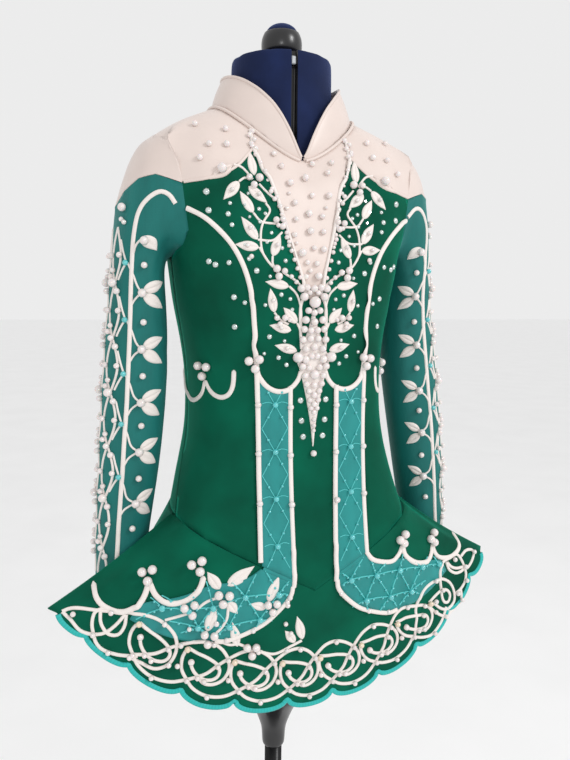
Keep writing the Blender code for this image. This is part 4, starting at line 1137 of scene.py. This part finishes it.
# One turn of the knot border: shares of the scallop's width across, and of KNOT_TALL up
RUNNING_BAND = (
    (0.0, 0.0), (0.15, 0.11), (0.29, 0.23), (0.42, 0.42), (0.60, 0.60), (0.84, 0.76), (1.12, 0.80),
    (1.38, 0.72), (1.58, 0.56), (1.67, 0.38), (1.64, 0.18), (1.50, 0.05), (1.32, 0.02), (1.16, 0.11),
)
INNER_BAND = (
    (-0.10, 0.36), (-0.02, 0.24), (0.12, 0.14), (0.32, 0.09), (0.48, 0.16), (0.51, 0.30), (0.40, 0.43),
    (0.16, 0.51), (-0.08, 0.54), (-0.28, 0.57),
)
DROP_BAND = (
    (-0.28, 0.57), (-0.27, 0.36), (-0.17, 0.15), (0.0, 0.0), (0.18, -0.13), (0.46, -0.20), (0.76, -0.15),
    (1.0, 0.0),
)
KNOT_BEADS = (
    (0.42, 0.41), (0.57, 0.57), (0.29, 0.08), (0.15, 0.11), (0.72, 0.20), (0.46, -0.20), (0.0, 0.0),
    (1.14, 0.80),
)
KNOT_RISE = ((60, 12.0), (90, 14.0), (132, 12.0), (150, 4.0))
KNOT_TALL = 54.0
KNOT_STARTS = (-183.0, -132.0, -80.0, -25.0, 25.0, 80.0, 132.0)
KNOT_WIDTHS = (51.0, 52.0, 55.0, 50.0, 55.0, 52.0, 48.0)


def knot_place(index, a, b):
    """A place on the skirt in turn number index of the knot border."""
    x = KNOT_STARTS[index] + a * KNOT_WIDTHS[index]
    if a > 1 and index + 1 < len(KNOT_STARTS):
        x = KNOT_STARTS[index + 1] + (a - 1) * KNOT_WIDTHS[index + 1]
    return front(*above_hem(x, np.interp(x, *zip(*KNOT_RISE)) + b * KNOT_TALL))


def knots():
    for index in range(len(KNOT_STARTS)):
        def line(points):
            return [knot_place(index, a, b) for a, b in curve_through(points, 0.035)]

        last = index == len(KNOT_STARTS) - 1
        for band in (INNER_BAND, DROP_BAND) if last else (RUNNING_BAND, INNER_BAND, DROP_BAND):
            KNOT_CORDS.cord(line(band), KNOT_WIDTH, KNOT_HEIGHT)
        for a, b in KNOT_BEADS:
            PEARLS.bead(knot_place(index, a, b), SMALL + 0.4, ON_CORD)
        PEARLS.bead(knot_place(index, -0.10, 0.37), MEDIUM, ON_CORD)
        CREAM_PEARLS.bead(knot_place(index, -0.28, 0.56), MEDIUM - 0.4, ON_CORD)


# Both ends of the border, as x and z
END_BANDS = {
    -1: (
        ((-237, 859), (-225, 862), (-207, 860), (-183, 858), (-163, 856), (-148, 849), (-137, 835),
         (-136, 820), (-143, 807), (-156, 803), (-169, 810), (-176, 814)),
        ((-237, 859), (-230, 852), (-222, 842), (-211, 838), (-200, 839), (-190, 846), (-181, 856)),
        ((-200, 862), (-208, 858), (-211, 848), (-210, 838), (-208, 830), (-202, 823), (-189, 818),
         (-171, 816)),
        ((-203, 860), (-203, 848), (-197, 838), (-188, 837), (-182, 845), (-180, 856)),
    ),
    1: (
        ((149, 822), (152, 816), (161, 808), (175, 800), (190, 801), (201, 808), (204, 816), (203, 823)),
        ((149, 822), (158, 827), (169, 831), (179, 829), (184, 822), (181, 815), (175, 816), (171, 822),
         (169, 833), (167, 842), (166, 850), (169, 858), (177, 862), (187, 863), (199, 864), (206, 857),
         (210, 848), (206, 844), (195, 844), (184, 851), (180, 860)),
        ((156, 821), (168, 811), (179, 807), (188, 810), (192, 816), (190, 827), (183, 837), (170, 844),
         (155, 845), (142, 841), (134, 833), (130, 826), (129, 818), (131, 810), (130, 803), (129, 791),
         (125, 786)),
        ((182, 859), (188, 853), (197, 849), (207, 848)),
        ((206, 860), (216, 864), (226, 863), (230, 859), (225, 851), (216, 845), (208, 846)),
        ((210, 848), (213, 839), (210, 830), (203, 824), (194, 821)),
    ),
}
END_PEARLS = {
    -1: ((-227, 857), (-210, 838), (-193, 858), (-146, 848), (-143, 807), (-197, 821), (-178, 816)),
    1: (
        (228, 860), (210, 848), (211, 832), (192, 860), (195, 821), (202, 812), (175, 800), (169, 832),
        (158, 822),
    ),
}


def border_ends():
    for side, bands in END_BANDS.items():
        for band in bands:
            KNOT_CORDS.cord(on_front(band, FINE_STEP), KNOT_WIDTH, KNOT_HEIGHT)
        for x, z in END_PEARLS[side]:
            PEARLS.bead(front(x, z), SMALL + 0.6, ON_CORD)
    CREAM_PEARLS.bead(front(149, 822), MEDIUM - 0.4, ON_CORD)


# Sleeves, as degrees round the arm and height
HOOK = (
    (114, 1243), (108, 1251), (101, 1254), (91, 1249), (80, 1236), (75, 1216), (73, 1182),
    (72, 1124), (71, 1057), (70, 987), (72, 914), (72, 868),
)
TRIPLE_HEIGHTS = (1160.0, 1106.0, 1054.0, 1005.0, 952.0)
ROW_PITCH = 53.0
ARM_ARC = 0.55  # millimetres along the sleeve for each degree
BRAID_TOP, BRAID_FOOT, BRAID_STEPS, BRAID_ROWS = 1222.0, 874.0, 140, 6
BRAID_SPREAD = 15


def arm_line(side, points):
    """A smooth line on a sleeve through (degrees, height) points."""
    flat = curve_through([(degrees * ARM_ARC, z) for degrees, z in points], 1.8)
    return [arm(side, a / ARM_ARC, z) for a, z in flat]


def arm_leaf(side, base, tip, width):
    def ground(a, z):
        return arm(side, a / ARM_ARC, z)

    leaf(LEAVES, ground, (base[0] * ARM_ARC, base[1]), (tip[0] * ARM_ARC, tip[1]), width)


def braid(side, middle, mirror):
    """Two cords that cross between the pearls, with small clusters at each crossing."""
    spread = mirror * BRAID_SPREAD
    for phase in (0.0, math.pi):
        points = []
        for k in range(BRAID_STEPS + 1):
            z = BRAID_TOP + (BRAID_FOOT - BRAID_TOP) * k / BRAID_STEPS
            turn = middle + spread * math.sin(math.pi * (BRAID_TOP - z) / ROW_PITCH + phase)
            points.append(arm(side, turn, z))
        SLEEVE_CORDS.cord(points, 2.8, 1.2)
    for row in range(1, BRAID_ROWS + 1):
        z = BRAID_TOP - row * ROW_PITCH
        for turn, rise, size in (
            (0, 0, LARGE if row % 2 else MEDIUM), (11, -8, MEDIUM), (-10, 6, MEDIUM - 0.6),
            (-4, 12, SMALL + 0.6), (spread, ROW_PITCH / 2, MEDIUM - 0.6),
            (-spread, ROW_PITCH / 2, MEDIUM - 0.6),
        ):
            PEARLS.bead(arm(side, middle + turn, z + rise), size)


def sleeve_work(side):
    SLEEVE_CORDS.cord(arm_line(side, HOOK), 4.6, 1.4, (0.0, 0.02))
    arm_leaf(side, (87, 1213), (108, 1200), 11.0)
    PEARLS.bead(arm(side, 90, 1209), LARGE)
    SLEEVE_CORDS.cord(arm_line(side, ((75, 1196), (79, 1205), (87, 1211))), TWIG_WIDTH, TWIG_HEIGHT)
    for row, z in enumerate(TRIPLE_HEIGHTS):
        turn = 90 + 2.4 * row
        span, wide = (42, 12.0) if side == "R" else (33, 10.0)
        arm_leaf(side, (turn + 2, z + 2), (turn + span, z + 11), wide)
        arm_leaf(side, (turn + 2, z - 2), (turn + span + 1, z - 15), wide)
        PEARLS.bead(arm(side, turn, z), LARGE)
        PEARLS.bead(arm(side, turn + 1, z + 26), MEDIUM)
        TEAL_BEADS.bead(arm(side, 64, z + 28), MEDIUM - 0.8)
        for twig in (
            ((66, z + 28), (75, z + 18), (83, z + 6), (turn, z)), ((turn, z), (80, z - 6), (72, z - 14)),
            ((64, z + 28), (56, z + 22), (46, z + 12)), ((64, z + 28), (57, z + 38), (50, z + 50)),
        ):
            SLEEVE_CORDS.cord(arm_line(side, twig), TWIG_WIDTH, TWIG_HEIGHT)
    PEARLS.bead(arm(side, 98, TRIPLE_HEIGHTS[-1] - 26), MEDIUM)
    braid(side, 36, 1)
    braid(side, -10, -1)
    for z, turn, size in ((1240, 52, LARGE - 0.6), (1229, 50, SMALL), (1226, 58, SMALL)):
        PEARLS.bead(arm(side, turn, z), size)


# Collar
def collar_edge(share):
    """The collar's top edge, 0 at the front point and 2 at the back middle."""
    back = share > 1
    turn = math.pi / 2 * (2 - share if back else share)
    x = 62.0 * math.sin(turn)
    y = 5.0 + ((58.5 if back else -62.5) - 5.0) * math.cos(turn)
    z = 1380.0 + (COLLAR_BACK_Z - 1380.0) * math.cos(turn) if back else np.interp(x, *zip(*COLLAR_TOP))
    return np.array([x, y, z])


def neck_seam(share):
    back = share > 1
    turn = math.pi / 2 * (2 - share if back else share)
    power = 0.95 if back else 0.90
    part, depth = math.sin(turn) ** power, max(math.cos(turn), 0.0) ** power
    y = 1.0 + ((60.0 if back else -61.0) - 1.0) * depth
    z = 1350.0 + (1347.0 - 1350.0) * part ** 2 if back else 1291.0 + (1347.0 - 1291.0) * part ** 1.5
    return np.array([75.0 * part, y, z])


def collar_trim():
    for side in (1, -1):
        flip = np.array([side, 1.0, 1.0])
        shares = np.linspace(0.02, 1.95, 90)
        for work, edge_at, drop, width, height in (
            (PIPING, neck_seam, 0.0, 3.4, 1.6), (PIPING, collar_edge, 1.3, 3.0, 0.7),
        ):
            line = []
            for share in shares:
                place = edge_at(share) * flip * MM - np.array([0.0, 0.0, drop * MM])
                found = TORSO.find_nearest(Vector(place))
                normal = np.array([place[0], place[1] - 0.002, 0.0])
                normal /= np.linalg.norm(normal)
                line.append((np.array(found[0]) if drop else place, normal))
            work.cord(line, width, height, sink=0.5)


# Back zip
ZIP_TOP, TOOTH_STEP, TEETH = 1368.0, 1.2, 353


def zip_teeth():
    teeth = Work("zip_teeth", "zip_enamel", "zip_plastic")
    for index in range(TEETH):
        side = 1 if index % 2 else -1
        z = (ZIP_TOP - index * TOOTH_STEP) * MM
        line = [hit(ZIP_BACK, (side * x * MM, RAY_START, z), (0.0, -1.0, 0.0)) for x in (1.9, 0.8, -0.3)]
        teeth.cord(line, 1.5, 0.9, sink=0.2)
    teeth.finish_piece()


bodice_borders()
chest()
yoke_tail()
pendant()
side_crowns()
strip_lattice()
skirt_lattice()
skirt_borders()
skirt_spray()
hem_edge()
knots()
border_ends()
for arm_side in "LR":
    sleeve_work(arm_side)
collar_trim()
zip_teeth()
for gathered in (
    CORDS, SLEEVE_CORDS, KNOT_CORDS, LEAVES, YOKE_LEAVES, STRIP_JOIN, LATTICE, EDGE, PIPING, PEARLS,
    CREAM_PEARLS, TEAL_BEADS, STONES,
):
    gathered.finish_piece()

# The form and the stand are smoothed, and the zip keeps its solids
NODE_FINISHES = {
    "form_torso": "form_cover",
    "pin_cushion": "form_cover",
    "neck_knob": "black_plastic",
    "form_hub": "black_plastic",
    "form_pole": "black_metal",
    "form_base": "black_metal",
    "zip_chain": "zip_enamel",
    "zip_slider": "zip_enamel",
    "zip_pull": "zip_enamel",
}
# The neck slot's middle and half width, and its floor's distance from the middle of the neck, in metres
SLOT_X, SLOT_HALF, SLOT_FLOOR, SLOT_NEAR = -0.006, 0.0034, 0.0458, 0.0006
SLOT_FOOT = 1.3


def blacken_slot(piece):
    """The inside walls of the neck slot get the black plastic finish, as painted shade in the deep narrow
    slot.
    """
    piece.data.materials.append(MATERIALS["black_plastic"])
    for face in piece.data.polygons:
        place = face.center
        wall = abs(face.normal.x) > 0.7 or place.y > -SLOT_FLOOR - SLOT_NEAR
        within = abs(place.x - SLOT_X) < SLOT_HALF and place.y < -SLOT_FLOOR + SLOT_NEAR
        if wall and within and place.z > SLOT_FOOT:
            # Painted shade: the slot's inner walls take the black finish.
            face.material_index = 1


def slot_key():
    """The small grey key end at the top of the neck slot."""
    bpy.ops.mesh.primitive_cube_add(size=1.0)
    made = bpy.context.object
    made.name = "slot_key"
    place, size = Matrix.Translation((SLOT_X, -0.0482, 1.3895)), Matrix.Diagonal((0.0052, 0.004, 0.008, 1))
    made.data.transform(place @ size)
    round_off = made.modifiers.new("round", "BEVEL")
    round_off.width, round_off.segments = 0.0012, 3
    dress_in(made, "key_grey")
    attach(made, "root")


slot_key()
for node, finish in NODE_FINISHES.items():
    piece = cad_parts[node] if node.startswith("zip") else smooth_copy(node)
    piece.data.materials.clear()
    piece.data.materials.append(MATERIALS[finish])
    if node == "form_torso":
        blacken_slot(piece)


# Floor, light and camera
def studio():
    floor_material = Nodes("floor")
    floor_material.set(Roughness=0.7)
    pale = ((0.3, (0.93, 0.93, 0.93)), (0.7, (0.96, 0.96, 0.96)))
    floor_material.colour(floor_material.ramp(floor_material.noise(3.0), pale))
    bpy.context.scene.view_settings.view_transform = "Standard"
    bpy.ops.mesh.primitive_plane_add(size=60.0, location=(0.0, 0.0, -0.0005))
    floor = bpy.context.object
    floor.name = "floor"
    floor.data.materials.append(floor_material.material)
    world = bpy.data.worlds.new("studio")
    world.use_nodes = True
    background = world.node_tree.nodes["Background"]
    background.inputs["Color"].default_value = (1.0, 1.0, 1.0, 1.0)
    background.inputs["Strength"].default_value = 0.84
    bpy.context.scene.world = world
    for name, place, size, power in (
        ("key", (1.5, -1.9, 2.6), 0.6, 27.0),
        ("front", (-0.9, -2.3, 1.5), 0.4, 7.0),
    ):
        data = bpy.data.lights.new(name, "AREA")
        data.size = size
        data.energy = power
        lamp = link(name, data)
        lamp.location = place
        lamp.rotation_euler = (Vector((0.0, 0.0, 1.05)) - Vector(place)).to_track_quat("-Z", "Y").to_euler()


def camera():
    data = bpy.data.cameras.new("camera")
    data.sensor_width = 36.0
    data.lens = CAMERA_LENS
    made = link("camera", data)
    heading = Matrix.Rotation(math.radians(CAMERA_HEADING), 4, "Z")
    pitch = Matrix.Rotation(math.radians(90 + CAMERA_PITCH), 4, "X")
    roll = Matrix.Rotation(math.radians(CAMERA_ROLL), 4, "Z")
    made.matrix_world = Matrix.Translation(CAMERA_PLACE) @ heading @ pitch @ roll
    bpy.context.scene.camera = made


studio()
camera()
